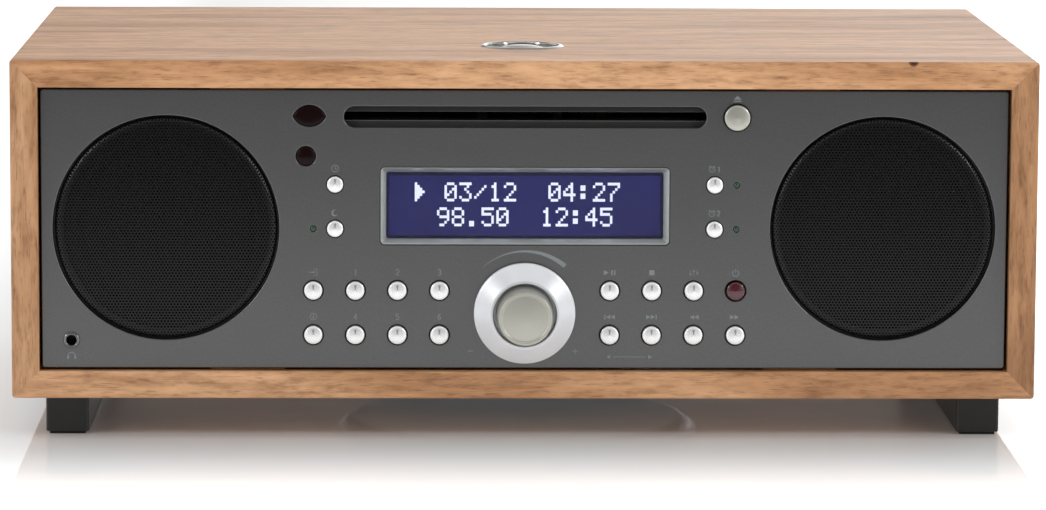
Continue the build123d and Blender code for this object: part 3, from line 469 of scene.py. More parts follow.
def perforated(reach, pitch, hole, sheet, thickness, sides=6, at=(0, 0)):
    """Staggered holes in a thin sheet. sheet(s) gives the radius, height and slope angle at arc length s."""
    ring = sides // 6
    corners_at = [math.radians(30 + 60 * k / ring) for k in range(sides)]
    cell = pitch / math.sqrt(3)
    half_edge = pitch / 2
    keys, points, faces = {}, [], []

    def point(u, v, depth, tag):
        key = (round(u * 500), round(v * 500), tag)
        if key not in keys:
            s = math.hypot(u, v)
            radius, height, slope = sheet(s)
            out = radius - depth * math.sin(slope)
            k = out / s if s > 1e-9 else 0.0
            keys[key] = len(points)
            points.append((at[0] + u * k, at[1] + v * k, height - depth * math.cos(slope)))
        return keys[key]

    rows = int(reach / (pitch * math.sqrt(3) / 2)) + 1
    edges = {}
    for j in range(-rows, rows + 1):
        v0 = j * pitch * math.sqrt(3) / 2
        for i in range(-rows - 1, rows + 2):
            u0 = (i + 0.5 * (j % 2)) * pitch
            if math.hypot(u0, v0) > reach:
                continue
            outer, inner = [], []
            for k, a in enumerate(corners_at):
                far = cell if k % ring == 0 else half_edge
                outer.append((u0 + far * math.cos(a), v0 + far * math.sin(a)))
                inner.append((u0 + hole * math.cos(a), v0 + hole * math.sin(a)))
            top = [point(*p, 0, 0) for p in outer]
            low = [point(*p, thickness, 1) for p in outer]
            rim = [point(*p, 0, 2) for p in inner]
            base = [point(*p, thickness, 3) for p in inner]
            for k in range(sides):
                n = (k + 1) % sides
                faces.append([top[k], top[n], rim[n], rim[k]])
                faces.append([rim[k], rim[n], base[n], base[k]])
                faces.append([base[k], base[n], low[n], low[k]])
                edge = (min(top[k], top[n]), max(top[k], top[n]))
                if edge in edges:
                    edges[edge] = None
                else:
                    edges[edge] = [top[n], top[k], low[k], low[n]]
    faces += [face for face in edges.values() if face]
    return points, faces, 0


# ---- making the pieces
facings = {
    "front": Matrix.Rotation(math.radians(90), 4, "X"),
    "back": Matrix.Rotation(math.radians(180), 4, "Z") @ Matrix.Rotation(math.radians(90), 4, "X"),
    "top": Matrix.Identity(4),
    "under": Matrix.Rotation(math.radians(180), 4, "X"),
}


def make(name, shapes, slots, body, facing, place, stands_for=(), sharp=32, flat=False):
    """One piece made of shapes in the facing's own frame: x across, y up, z outwards."""
    points, faces, kinds = [], [], []
    for shape_points, shape_faces, kind in shapes:
        base = len(points)
        points += shape_points
        faces += [[i + base for i in face] for face in shape_faces]
        kinds += [kind] * len(shape_faces)
    mesh = bpy.data.meshes.new(name)
    mesh.from_pydata([(x * MM, y * MM, z * MM) for x, y, z in points], [], faces)
    mesh.polygons.foreach_set("material_index", kinds)
    for slot in slots:
        mesh.materials.append(materials[slot])
    if not flat:
        shade(mesh, math.radians(sharp))
    piece = bpy.data.objects.new(name, mesh)
    scene.collection.objects.link(piece)
    piece.matrix_world = Matrix.Translation(Vector(place) * MM) @ facings[facing]
    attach(piece, body)
    if stands_for:
        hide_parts(*stands_for)


def shade(mesh, limit):
    """Normals outwards and smooth faces, with sharp edges at turns over the limit and round level faces."""
    bm = bmesh.new()
    bm.from_mesh(mesh)
    bmesh.ops.recalc_face_normals(bm, faces=bm.faces)
    for face in bm.faces:
        face.smooth = True
    for edge in bm.edges:
        if len(edge.link_faces) == 2:
            level = [abs(face.normal.z) > 0.9999 for face in edge.link_faces]
            edge.smooth = level[0] == level[1] and edge.calc_face_angle(0) < limit
    bm.to_mesh(mesh)
    bm.free()


def dress(node, slot, bevel=0.0):
    """Gives a CAD node its material, and rounds its edges a little where they show."""
    piece = nodes[node]
    piece.data.materials.clear()
    piece.data.materials.append(materials[slot])
    if bevel:
        weld = piece.modifiers.new("weld", "WELD")
        weld.merge_threshold = 2e-6
        edge = piece.modifiers.new("edge", "BEVEL")
        edge.width = bevel * MM
        edge.segments = 2
        edge.limit_method = "ANGLE"
        edge.angle_limit = math.radians(50)
        edge.harden_normals = False


def on_panel(name, shapes, slots, stands_for=(), sharp=32, flat=False):
    """A piece of the cabinet, placed by its x and z across the panel."""
    make(name, shapes, slots, "cabinet", "front", front, stands_for, sharp, flat)


# ---- places from the CAD
panel_low, panel_high = corners("front_panel")
face_y = panel_low.y
panel_back = face_y - panel_high.y  # local height of the panel's back, below its face
panel_mid = (panel_low + panel_high) / 2
front = (0, face_y, 0)
small_key = (2.85, 0.35)  # cap's radius and the gap round it
key_sizes = {name: small_key for name in ("button_clock", "button_sleep", "button_alarm_1", "button_alarm_2")}
key_sizes["button_eject"] = (4.5, 0.4)
keys = {}
for name in nodes:
    if name.startswith("button_"):
        spot = centre(name)
        keys[name] = (spot.x, spot.z, *key_sizes.get(name, (3.2, 0.45)))
slot_z = keys["button_eject"][1]
slot_half, slot_height = 63.3, 7.5
ring_spot = centre("volume_ring")
bezel_low, bezel_high = corners("display_bezel")
display_z = (bezel_low.z + bezel_high.z) / 2
bezel_width, bezel_height = 101.4, 27.4
dimmer_r = 3.55
dimmer_x, dimmer_z = -76.6, slot_z - 13.8
eye_x, eye_half, eye_rise, eye_drop = -75.35, 5.85, 4.2, 3.5
phone_low, phone_high = corners("headphone_socket")
phone_x, _, phone_z = centre("headphone_socket")
grille_low, grille_high = corners("speaker_grilles")
grille_z = (grille_low.z + grille_high.z) / 2
grille_gap = 0.6  # between a grille's CAD rim and the panel's hole
grille_r = (grille_high.z - grille_low.z) / 2 + grille_gap
grille_x = grille_high.x - (grille_r - grille_gap)
lights = [(-74.0, 74.2), (74.0, 89.8), (74.0, 74.2)]


def bow(half, rise, base_z, steps=20):
    """Points of the arc over a chord, from its right end to its left."""
    radius = (half * half + rise * rise) / (2 * abs(rise))
    reach = math.asin(min(1.0, half / radius))
    sign = 1 if rise > 0 else -1
    low = radius - abs(rise)
    angles = [reach - 2 * reach * k / steps for k in range(steps + 1)]
    return [(eye_x + radius * math.sin(a), base_z + sign * (radius * math.cos(a) - low)) for a in angles]


def eye_loop(margin):
    half = eye_half - margin
    upper = bow(half, eye_rise - margin, slot_z)
    lower = bow(half, -(eye_drop - margin), slot_z)[::-1]
    return upper + lower[1:-1]


# ---- cabinet
for slot, bevel, kept in (
    ("wood", 0.35, ("cabinet_top", "cabinet_bottom")),
    ("wood_upright", 0.35, ("cabinet_sides",)),
    ("wood_blocks", 0.5, ("fixing_blocks",)),
    ("black_runner", 0.7, ("runners",)),
    ("rubber_pad", 0.2, ("runner_pads",)),
    ("basket_steel", 0, ("driver_baskets",)),
    ("cone_black", 0, ("driver_cones",)),
    ("magnet_iron", 0, ("driver_magnets", "cd_motors")),
    ("magnet_iron", 0.4, ("power_transformer",)),
    ("black_plastic", 0, ("cd_top_guide", "cd_turntable")),
    ("black_plastic", 0.2, ("cd_laser_sled",)),
    ("black_plastic", 0.3, ("lcd_module",)),
    ("circuit_green", 0, ("control_board", "main_board")),
    ("encoder_plastic", 0.3, ("rotary_encoder",)),
    ("steel_shaft", 0, ("tune_plunger",)),
    ("sheet_steel", 0, ("cd_chassis",)),
    ("roller_rubber", 0, ("cd_feed_roller",)),
    ("white_plastic", 0, ("cd_drive_gear", "cd_sled_pinion")),
):
    for node in kept:
        dress(node, slot, bevel)

# Front panel
holes = [rounded(0, slot_z, 2 * slot_half, slot_height, slot_height / 2 - 0.01, 14), eye_loop(0.0)]
holes.append(rounded(0, display_z, bezel_width, bezel_height, 1.5))
holes += [circle(x, z, radius + gap) for x, z, radius, gap in keys.values()]
holes += [circle(x, z, 1.05, 24) for x, z in lights]
holes += [circle(side * grille_x, grille_z, grille_r, 160) for side in (-1, 1)]
holes += [circle(0, ring_spot.z, 7.5), circle(dimmer_x, dimmer_z, dimmer_r), circle(phone_x, phone_z, 2.5)]
width, height = panel_high.x - panel_low.x, panel_high.z - panel_low.z
fascia = plate(rounded(0, panel_mid.z, width, height, 1.0), holes, panel_back, 0, 0.3)
on_panel("front_panel_face", [fascia], ["panel_grey"], ["front_panel"])

# Black sheet behind the panel's rim, filling its joint with the wood: painted shade that keeps the gap dark
rim = rounded(0, panel_mid.z, width + 0.5, height + 0.5, 1.2)
joint_shade_sheet = plate(rim, [rounded(0, panel_mid.z, width - 4, height - 4, 0.8)], panel_back - 1.0, panel_back - 0.05, 0)
on_panel("panel_joint_shade", [joint_shade_sheet], ["felt_black"])

# Felt lips inside the disc slot, above and below the disc's path
lips = [
    bar((-slot_half - 2, slot_z - 6.5, -5.3), (slot_half + 2, slot_z - 1.6, panel_back - 0.1), 0.5),
    bar((-slot_half - 2, slot_z + 1.6, -5.3), (slot_half + 2, slot_z + 6.5, panel_back - 0.1), 0.5),
]
on_panel("slot_felt", lips, ["felt_black"])


# ---- grilles
dome_r = grille_r - 3.0
rim_length = 3.9  # of the sheet past its dome


def speaker_sheet(s):
    """Low dome that rolls over into a rim: radius, height and slope at arc length s."""
    roll = 2.4
    if s <= dome_r:
        t = s / dome_r
        return s, 0.5 + 0.4 * (1 - t * t), 0.03 * t
    a = min((s - dome_r) / roll, math.radians(88))
    past = s - dome_r - a * roll
    return dome_r + roll * math.sin(a), 0.5 - roll * (1 - math.cos(a)) - past, a


for side, name in ((-1, "speaker_grille_left"), (1, "speaker_grille_right")):
    mesh = perforated(dome_r + rim_length, pitch=1.15, hole=0.45, sheet=speaker_sheet, thickness=0.35)
    make(name, [mesh], ["grille_black"], "cabinet", "front", (side * grille_x, face_y, grille_z),
         ["speaker_grilles"], flat=True)

woofer_low, woofer_high = corners("woofer_grille")
woofer_r = (woofer_high.x - woofer_low.x) / 2
woofer_drop = woofer_high.z - woofer_low.z
flat_r = woofer_r - 6.5


def woofer_sheet(s):
    """Flat cover that rolls down to the board at its edge."""
    roll = 3.4
    if s <= flat_r:
        return s, woofer_drop - 0.01, 0.0
    a = min((s - flat_r) / roll, math.radians(62))
    past = s - flat_r - a * roll
    radius = flat_r + roll * math.sin(a) + past * math.cos(a)
    return radius, woofer_drop - 0.01 - roll * (1 - math.cos(a)) - past * math.sin(a), a


woofer_place = (*centre("woofer_grille").xy, woofer_high.z)
woofer_rim = lathe([
    (woofer_r, 0.0), (woofer_r, 1.2, 0.5), (woofer_r - 2.2, 1.3, 0.8), (woofer_r - 3.2, 2.6, 0.3),
    (woofer_r - 4.4, 2.3, 0.3), (woofer_r - 3.6, 0.0),
], 144, closed=True)
woofer_mesh = perforated(flat_r + 4.6, pitch=2.6, hole=0.95, sheet=woofer_sheet, thickness=0.7, sides=12)
make("woofer_cover", [woofer_mesh, woofer_rim], ["grille_black"], "cabinet", "under", woofer_place,
     ["woofer_grille"], 30)


# ---- buttons
def key_shape(name, radius, gap):
    """Turned cap with a rounded shoulder and a shallow cone, and its black flange and stem behind the panel."""
    lo, hi = corners(name)
    rise, tip = face_y - lo.y, face_y - hi.y
    flange, foot = radius + gap + 0.7, panel_back - 0.1
    cap = lathe([
        (0, rise - 0.03), (0.25, rise - 0.05), (radius * 0.5, rise - 0.20), (radius - 0.65, rise - 0.32),
        (radius, rise - 0.62, 0.5), (radius, -0.9), (0, -0.9),
    ], 64)
    stem = lathe([
        (0, -0.92), (radius - 0.02, -0.92), (radius - 0.02, foot), (flange, foot, 0.2),
        (flange, foot - 1.2, 0.2), (1.25, foot - 1.2), (1.25, tip, 0.3), (0, tip),
    ], 64, kind=1)
    return [cap, stem]


cap_slots = {"button_power": "power_red", "button_eject": "knob_champagne"}
for name, (x, z, radius, gap) in keys.items():
    cap, slots = name.replace("button", "cap"), [cap_slots.get(name, "key_silver"), "black_plastic"]
    make(cap, key_shape(name, radius, gap), slots, name, "front", (x, face_y, z), [name])

# ---- knobs
knob_z = ring_spot.z
ring_r, well_r, rim_top, edge_top = 17.8, 11.15, 6.5, 2.0
ring_profile = [
    (3.6, 1.5), (well_r, 1.5, 0.3), (well_r, rim_top, 0.25), (well_r + 0.9, rim_top, 0.3),
    (ring_r - 0.55, edge_top + 0.25, 0.35), (ring_r, edge_top - 0.1, 0.4), (ring_r, 0.5, 0.15),
    (7.0, 0.5), (7.0, -8.5, 0.3), (3.6, -8.5),
]
make("volume_ring_turned", [lathe(ring_profile, 160, closed=True)], ["ring_silver"], "volume_ring", "front",
     (0, face_y, knob_z), ["volume_ring"])
knob_low, knob_high = corners("tune_knob")
knob_front = face_y - knob_low.y
knob_profile = [
    (0, knob_front - 0.05), (4.0, knob_front - 0.15), (8.0, knob_front - 0.5, 0.2),
    (8.45, knob_front - 0.02, 0.15), (9.1, knob_front - 0.02, 0.25), (9.5, knob_front - 0.5, 0.35),
    (10.15, 3.1, 0.3), (9.75, 2.7), (2.05, 2.7), (2.05, 10.3), (0, 10.3),
]
make("tune_knob_turned", [lathe(knob_profile, 128)], ["knob_champagne"], "tune_knob", "front",
     (0, face_y, knob_z), ["tune_knob"])

# ---- snooze button on the top
top_low, top_high = corners("snooze_bezel")
cap_low, cap_high = corners("snooze_button")
snooze = ((top_low.x + top_high.x) / 2, (cap_low.y + cap_high.y) / 2, 0)
lid_z = corners("cabinet_top")[1].z
ring_top = top_high.z
cup_wall = 1.2
floor_z = top_low.z + cup_wall
ring_profile = [
    (12.9, lid_z - 1.0), (12.9, ring_top - 0.45, 0.2), (13.4, ring_top, 0.3), (14.1, ring_top, 0.5),
    (15.1, lid_z, 0.3), (14.0, lid_z), (14.0, floor_z - cup_wall, 0.3), (0.0, floor_z - cup_wall),
]
inner_profile = [(0.0, floor_z), (13.3, floor_z), (13.3, lid_z - 1.0), (12.9, lid_z - 1.0)]
snooze_shape = lathe(ring_profile + inner_profile[::-1], 144)
switch_top = cap_low.z + 1.0
switch_shape = bar((-3, -3, floor_z), (3, 3, switch_top - 1.5), 0.3, kind=1)
make("snooze_ring", [snooze_shape, switch_shape], ["chrome", "black_plastic"], "cabinet", "top", snooze,
     ["snooze_bezel"])
cap_top = cap_high.z
cap_profile = [
    (0, cap_top), (3.0, cap_top - 0.15), (5.0, cap_top - 0.42), (6.8, cap_top - 0.80),
    (8.2, cap_top - 1.15, 0.2), (8.6, cap_top - 1.4, 0.1), (12.4, cap_top - 1.4, 0.15),
    (12.4, lid_z - 1.1), (13.0, lid_z - 1.1, 0.1), (13.0, lid_z - 3.2, 0.2), (1.25, lid_z - 3.2),
    (1.25, cap_low.z, 0.2), (0, cap_low.z),
]
make("snooze_cap", [lathe(cap_profile, 144)], ["snooze_satin"], "snooze_button", "top", snooze,
     ["snooze_button"])

# ---- display
inner_width, inner_height = bezel_width - 4.2, bezel_height - 3.8
bezel_levels = [
    (0.0, 1.5, -3.0), (0.0, 1.5, 0.05), (0.25, 1.4, 0.3), (0.75, 1.2, 0.3), (1.0, 1.1, 0.18),
    (3.9, 0.9, -1.85), (4.1, 0.8, -2.05), (4.1, 0.8, -4.2), (-5.8, 1.5, -4.2), (-5.8, 1.5, -3.0),
]
bezel_loops = []
for shrink, radius, height in bezel_levels:
    outline = rounded(0, display_z, bezel_width - 0.2 - shrink, bezel_height - 0.2 - shrink * 0.9, radius)
    bezel_loops.append([(x, y, height) for x, y in outline])
on_panel("display_frame", [loft(bezel_loops, closed=True)], ["bezel_grey"], ["display_bezel"], 24)
lens = plate(rounded(0, display_z, inner_width - 0.2, inner_height - 0.2, 0.7), [], -4.4, -2.4, 0.15)
on_panel("display_window", [lens], ["display_glass"], ["display_lens"])
lcd_front = -4.9
lcd_outline = rounded(0, display_z, inner_width + 0.3, inner_height + 0.3, 0.8)
lcd_plate = plate(lcd_outline, [], lcd_front - 0.1, lcd_front, 0)
# Darker border round the lit area: partly the display's own edge, and wider along the top as a painted shadow of
# the bezel
lit_area_under_painted_shadow = rounded(0, display_z - 0.35, inner_width - 2.2, inner_height - 2.5, 0.5)
border_and_painted_shadow = plate(lcd_outline, [lit_area_under_painted_shadow], lcd_front, lcd_front + 0.12, 0, kind=1)
on_panel("lcd_face", [lcd_plate, border_and_painted_shadow], ["lcd_blue", "lcd_border_and_painted_shadow"])

# Rows of each character's dots, from the top
dots = {
    "0": "01110 10001 10011 10101 11001 10001 01110", "1": "00100 01100 00100 00100 00100 00100 01110",
    "2": "01110 10001 00001 00010 00100 01000 11111", "3": "11111 00010 00100 00010 00001 10001 01110",
    "4": "00010 00110 01010 10010 11111 00010 00010", "5": "11111 10000 11110 00001 00001 10001 01110",
    "7": "11111 00001 00010 00100 01000 01000 01000", "8": "01110 10001 10001 01110 10001 10001 01110",
    "9": "01110 10001 10001 01111 00001 00010 01100", ":": "00000 01100 01100 00000 01100 01100 00000",
    "/": "00000 00001 00010 00100 01000 10000 00000", ".": "00000 00000 00000 00000 00000 01100 01100",
    ">": "10000 11000 11100 11110 11100 11000 10000", " ": "00000 00000 00000 00000 00000 00000 00000",
}
dot_x, dot_y, char_pitch = 0.86, 0.955, 5.2
characters = []
for text, line_z in (("> 03/12  04:27 ", display_z + 4.45), ("98.50  12:45", display_z - 4.35)):
    for place, letter in enumerate(text):
        x0 = (place - (len(text) - 1) / 2) * char_pitch
        for row, bits in enumerate(dots[letter].split()):
            for column, bit in enumerate(bits):
                if bit == "1":
                    x, z = x0 + (column - 2) * dot_x, line_z + (3 - row) * dot_y
                    low = (x - dot_x / 2, z - dot_y / 2, lcd_front)
                    characters.append(bar(low, (x + dot_x / 2, z + dot_y / 2, lcd_front + 0.06), 0))
on_panel("lcd_characters", characters, ["lcd_white"])

# ---- sensors and lights
eye_levels = [(0.15, -3.0), (0.15, -0.5), (0.3, -0.2), (0.5, -0.08), (0.9, -0.02), (2.0, 0.0), (3.1, 0.02)]
eye_loops = [[(x, z, height) for x, z in eye_loop(margin)] for margin, height in eye_levels]
eye_flange = plate(rounded(eye_x, slot_z, 2 * eye_half - 1, 7.7, 0.4), [], -5.0, -3.05, 0.2)
on_panel("ir_window", [loft(eye_loops, caps=True), eye_flange], ["dark_window"], ["sensor_windows"], 50)
lens_r = dimmer_r - 0.1


def lens_dome(radius, top, drop, steps):
    """Profile of a low dome, from its top to its edge."""
    angles = [math.pi / 2 * k / steps for k in range(steps + 1)]
    return [(radius * math.sin(a), top - drop * (1 - math.cos(a))) for a in angles]


dome = lens_dome(lens_r, 0.25, 0.75, 10)
dome += [(lens_r, -3.0), (lens_r + 1, -3.0), (lens_r + 1, -4.5), (0, -4.5)]
make("light_sensor_lens", [lathe(dome, 64)], ["dark_window"], "cabinet", "front", (dimmer_x, face_y, dimmer_z),
     ["sensor_windows"])
lamp_r = 0.95
lamp = lens_dome(lamp_r, 0.4, 0.5, 6) + [(lamp_r, -14.0), (0, -14.0)]
lamps = [lathe(lamp, 32, at=spot) for spot in lights]
on_panel("indicator_lenses", lamps, ["light_green"], ["indicator_lights"])

phone_proud = face_y - phone_low.y
phone_back = face_y - phone_high.y
phone_shape = lathe([
    (1.8, -12.0), (1.8, phone_proud - 0.25, 0.2), (2.3, phone_proud, 0.3), (2.9, phone_proud - 0.35, 0.4),
    (2.9, 0.0), (2.4, 0.0), (2.4, -3.0), (2.4, -12.0),
], 72, closed=True)
phone_body = bar((-5, -5, phone_back), (5, 5, panel_back), 0.4, kind=1)
phone_tip = lathe([(0, -9.0), (1.75, -9.0), (1.75, -9.3), (0, -9.3)], 32, kind=1)
make("headphone_ring", [phone_shape, phone_tip], ["phone_steel", "black_plastic"], "cabinet", "front",
     (phone_x, face_y, phone_z), ["headphone_socket"])
phone_block = rounded(phone_x, phone_z, 10, 10, 0.6)
phone_frame = plate(phone_block, [circle(phone_x, phone_z, 2.45)], phone_back, panel_back, 0.3)
on_panel("headphone_body", [phone_frame], ["black_plastic"], ["headphone_socket"])

# ---- printed marks on the panel
ink_low, ink_high = 0.0, 0.03
marks = []


def line(points, width=0.24):
    marks.append(ribbon(points, width, ink_low, ink_high))


def area(points):
    marks.append(plate(points, [], ink_low, ink_high, 0))


def arc(x, z, radius, start, end, width=0.24, steps=20):
    angles = [math.radians(start + (end - start) * k / steps) for k in range(steps + 1)]
    line([(x + radius * math.cos(a), z + radius * math.sin(a)) for a in angles], width)


def triangle(x, z, size, way=1):
    half = size * 0.55
    points = [(x - way * size / 2, z - half), (x + way * size / 2, z), (x - way * size / 2, z + half)]
    area(points if way > 0 else points[::-1])


def box_mark(x, z, wide, tall):
    half, rise = wide / 2, tall / 2
    area([(x - half, z - rise), (x + half, z - rise), (x + half, z + rise), (x - half, z + rise)])


# Strokes of each digit, on a grid 1 wide and 2 high
digit_lines = {
    "1": [[(0.15, 1.55), (0.6, 2.0), (0.6, 0.0)]],
    "2": [[(0.0, 1.6), (0.25, 1.95), (0.75, 1.95), (1.0, 1.6), (0.95, 1.2), (0.05, 0.08), (1.05, 0.08)]],
    "3": [[(0.0, 1.8), (0.4, 2.0), (0.85, 1.8), (0.9, 1.3), (0.45, 1.05)],
          [(0.45, 1.05), (0.95, 0.8), (0.95, 0.3), (0.5, 0.0), (0.0, 0.2)]],
    "4": [[(0.75, 0.0), (0.75, 2.0)], [(0.72, 1.95), (0.0, 0.62), (1.05, 0.62)]],
    "5": [[(0.95, 1.95), (0.12, 1.95), (0.08, 1.1), (0.6, 1.25), (1.0, 0.9), (0.95, 0.3), (0.5, 0.0),
           (0.0, 0.2)]],
    "6": [[(0.9, 1.9), (0.4, 1.75), (0.05, 1.1), (0.05, 0.45), (0.45, 0.02), (0.9, 0.25), (0.95, 0.8),
           (0.5, 1.12), (0.1, 0.9)]],
}


def digit(symbol, x, z, size=1.05):
    for path in digit_lines[symbol]:
        line([(x + (u - 0.5) * size, z + (v - 1) * size) for u, v in path], 0.3)


label_rise, small_rise = 6.4, 5.6
for name, (x, z, radius, gap) in keys.items():
    what = name[len("button_"):]
    y = z + (small_rise if radius == small_key[0] else label_rise)
    if what.startswith("preset"):
        digit(what[-1], x, y)
    elif what == "play":
        triangle(x - 1.3, y, 1.7)
        for step in (0.7, 1.7):
            box_mark(x + step, y, 0.5, 1.8)
    elif what == "stop":
        box_mark(x, y, 1.8, 1.8)
    elif what in ("previous", "rewind", "next", "forward"):
        way = 1 if what in ("next", "forward") else -1
        for step in (-1.1, 0.5):
            triangle(x + way * step, y, 1.5, way)
        if what in ("previous", "next"):
            box_mark(x + way * 1.65, y, 0.35, 1.7)
    elif what == "audio":
        for step, knob in ((-1.2, -0.4), (0, 0.5), (1.2, -0.1)):
            line([(x + step, y - 1.1), (x + step, y + 1.1)], 0.2)
            box_mark(x + step, y + knob, 0.8, 0.42)
    elif what == "power":
        arc(x, y - 0.1, 1.1, 125, 415, 0.26)
        line([(x, y + 0.1), (x, y + 1.35)], 0.26)
    elif what == "info":
        arc(x, y, 1.15, 0, 360, 0.2, 28)
        box_mark(x, y - 0.25, 0.32, 1.0)
        box_mark(x, y + 0.62, 0.32, 0.3)
    elif what == "source":
        line([(x + 0.2, y + 1.1), (x + 1.3, y + 1.1), (x + 1.3, y - 1.1), (x + 0.2, y - 1.1)], 0.22)
        line([(x - 1.6, y), (x + 0.1, y)], 0.24)
        triangle(x + 0.3, y, 0.9)
    elif what == "clock":
        arc(x, y, 1.2, 0, 360, 0.2, 28)
        line([(x, y + 0.8), (x, y), (x + 0.6, y - 0.25)], 0.2)
    elif what == "sleep":
        arc(x, y, 1.0, 70, 330, [0.08 + 0.42 * math.sin(math.pi * k / 20) for k in range(21)])
    elif what.startswith("alarm"):
        arc(x - 1.0, y - 0.1, 0.95, 0, 360, 0.2, 24)
        line([(x - 1.0, y + 0.4), (x - 1.0, y - 0.1), (x - 0.6, y - 0.1)], 0.18)
        line([(x - 2.0, y + 0.75), (x - 1.55, y + 1.15)], 0.26)
        line([(x - 0.45, y + 1.15), (x, y + 0.75)], 0.26)
        digit(what[-1], x + 1.3, y, 0.95)
    elif what == "eject":
        area([(x - 1.4, y), (x + 1.4, y), (x, y + 1.3)])
        box_mark(x, y - 0.6, 2.8, 0.4)

# Growing arc over the volume ring, minus and plus beside it, and the double arrow under the track buttons
arc(0, knob_z, 21.75, 132.5, 49.5, [0.12 + 1.5 * (k / 40) ** 1.3 for k in range(41)], 40)
sign_z, sign_half, minus_x, plus_x = 31.0, 0.9, -19.0, 17.8
for x in (minus_x, plus_x):
    line([(x - sign_half, sign_z), (x + sign_half, sign_z)], 0.26)
line([(plus_x, sign_z - sign_half), (plus_x, sign_z + sign_half)], 0.26)
arrow_z = 29.0
for x, way in ((29.5, -1), (44.2, 1)):
    triangle(x, arrow_z, 1.3, way)
line([(31.2, arrow_z), (42.5, arrow_z)], 0.2)
# Headphones under their socket
arc(phone_x, phone_z - 5.6, 1.25, 0, 180, 0.24)
for side in (-1, 1):
    box_mark(phone_x + side * 1.25, phone_z - 6.1, 0.62, 1.1)
on_panel("printed_marks", marks, ["printed_grey"], flat=True)

# ---- back
back_low, back_high = corners("back_panel")
back_y = back_high.y
back_mid = (back_low + back_high) / 2
behind = (0, back_y, 0)
rear_low, rear_high = corners("rear_sockets")
inlet = centre("mains_inlet")
row_margin, socket_pitch = 8.5, 17.0
row_right, row_low = -rear_low.x - row_margin, rear_low.z + row_margin
socket_places = [(row_right - socket_pitch * i, row_low + socket_pitch * j) for i in range(3) for j in range(2)]
antenna_r = 7.2
antenna = (-rear_high.x + antenna_r, (rear_low.z + rear_high.z) / 2)
slots_x = [-(30.0 + 7 * i) for i in range(9)]
screws_low, screws_high = corners("screws")
screw_x, screw_head_r = 96.98, 3.0
screw_places = [(side * screw_x, z) for side in (-1, 1) for z in (28.1, 119.8)]
back_holes = [circle(x, z, 5.15, 40) for x, z in socket_places]
back_holes += [circle(*antenna, 5.5, 40), rounded(-inlet.x, inlet.z, 26, 18, 3)]
back_holes += [circle(x, z, 1.6, 20) for x, z in screw_places]
back_holes += [rounded(x, back_mid.z + 24, 3, 22, 1.49, 5) for x in slots_x]
width, height = back_high.x - back_low.x, back_high.z - back_low.z
back_plate = plate(rounded(0, back_mid.z, width, height, 0.8), back_holes, -3.0, 0, 0.35)
make("back_board", [back_plate], ["back_black"], "cabinet", "back", behind, ["back_panel"])
block_low = (row_right - 2 * socket_pitch - row_margin, rear_low.z, -15)
shapes = [bar(block_low, (row_right + row_margin, rear_high.z, -3.0), 0.6, kind=1)]
shell = [(4.15, -3.0), (4.15, 7.6, 0.5), (3.5, 8.0, 0.2), (3.2, 8.0, 0.2), (3.2, 1.2), (3.4, 1.2), (3.4, -3.0)]
insert = [(1.65, 0.4), (1.65, 7.2, 0.2), (3.18, 7.2, 0.1), (3.18, 0.4)]
collar = [(4.15, 0.1), (5.0, 0.1, 0.2), (5.0, 1.1, 0.4), (4.15, 1.1)]
for place in socket_places:
    tint = 3 if place[1] == row_low else 2  # white below, red above
    for profile, steps, kind in ((shell, 48, 0), (insert, 40, tint), (collar, 48, tint)):
        shapes.append(lathe(profile, steps, at=place, kind=kind, closed=True))
for profile, steps, kind in (
    ([(4.7, -3.0), (4.7, 8.6, 0.3), (4.3, 9.0, 0.2), (2.9, 9.0, 0.2), (2.9, 1.0), (3.2, 1.0), (3.2, -3.0)], 56, 0),
    ([(1.2, 0.0), (1.2, 6.0, 0.3), (2.85, 6.0, 0.1), (2.85, 0.0)], 40, 3),
    ([(4.7, 0.1), (6.9, 0.1), (6.9, 1.4, 0.4), (4.7, 1.4)], 6, 0),
    ([(4.7, -6.0), (antenna_r, -6.0), (antenna_r, -3.05), (4.7, -3.05)], 40, 1),
):
    shapes.append(lathe(profile, steps, at=antenna, kind=kind, closed=True))
make("rear_socket_row", shapes, ["socket_metal", "black_plastic", "socket_red", "socket_white"], "cabinet",
     "back", behind, ["rear_sockets"])

inlet_x, inlet_z = -inlet.x, inlet.z
figure = []
for k in range(64):
    a = 2 * math.pi * k / 64
    lobe = 1 if math.cos(a) >= 0 else -1
    waist = 1.0 - 0.10 * math.exp(-(4 * math.cos(a)) ** 2)
    figure.append((inlet_x + lobe * 4.0 + 4.5 * math.cos(a), inlet_z + 4.5 * math.sin(a) * waist))
inlet_rim = plate(rounded(inlet_x, inlet_z, 32, 24, 3), [figure], 0.05, 1.5, 0.5)
inlet_outline = rounded(inlet_x, inlet_z, 25.8, 17.8, 3)
inlet_body = plate(inlet_outline, [figure], -10.0, 0.05, 0.0)
inlet_floor = plate(inlet_outline, [], -12.0, -10.0, 0.0)
pin = [(0, -10), (1.2, -10), (1.2, -1.2, 0.9), (0, -0.6)]
inlet_pins = [lathe(pin, 28, at=(inlet_x + x, inlet_z), kind=1) for x in (-4.25, 4.25)]
make("mains_socket", [inlet_rim, inlet_body, inlet_floor, *inlet_pins], ["black_plastic", "socket_metal"],
     "cabinet", "back", behind, ["mains_inlet"])


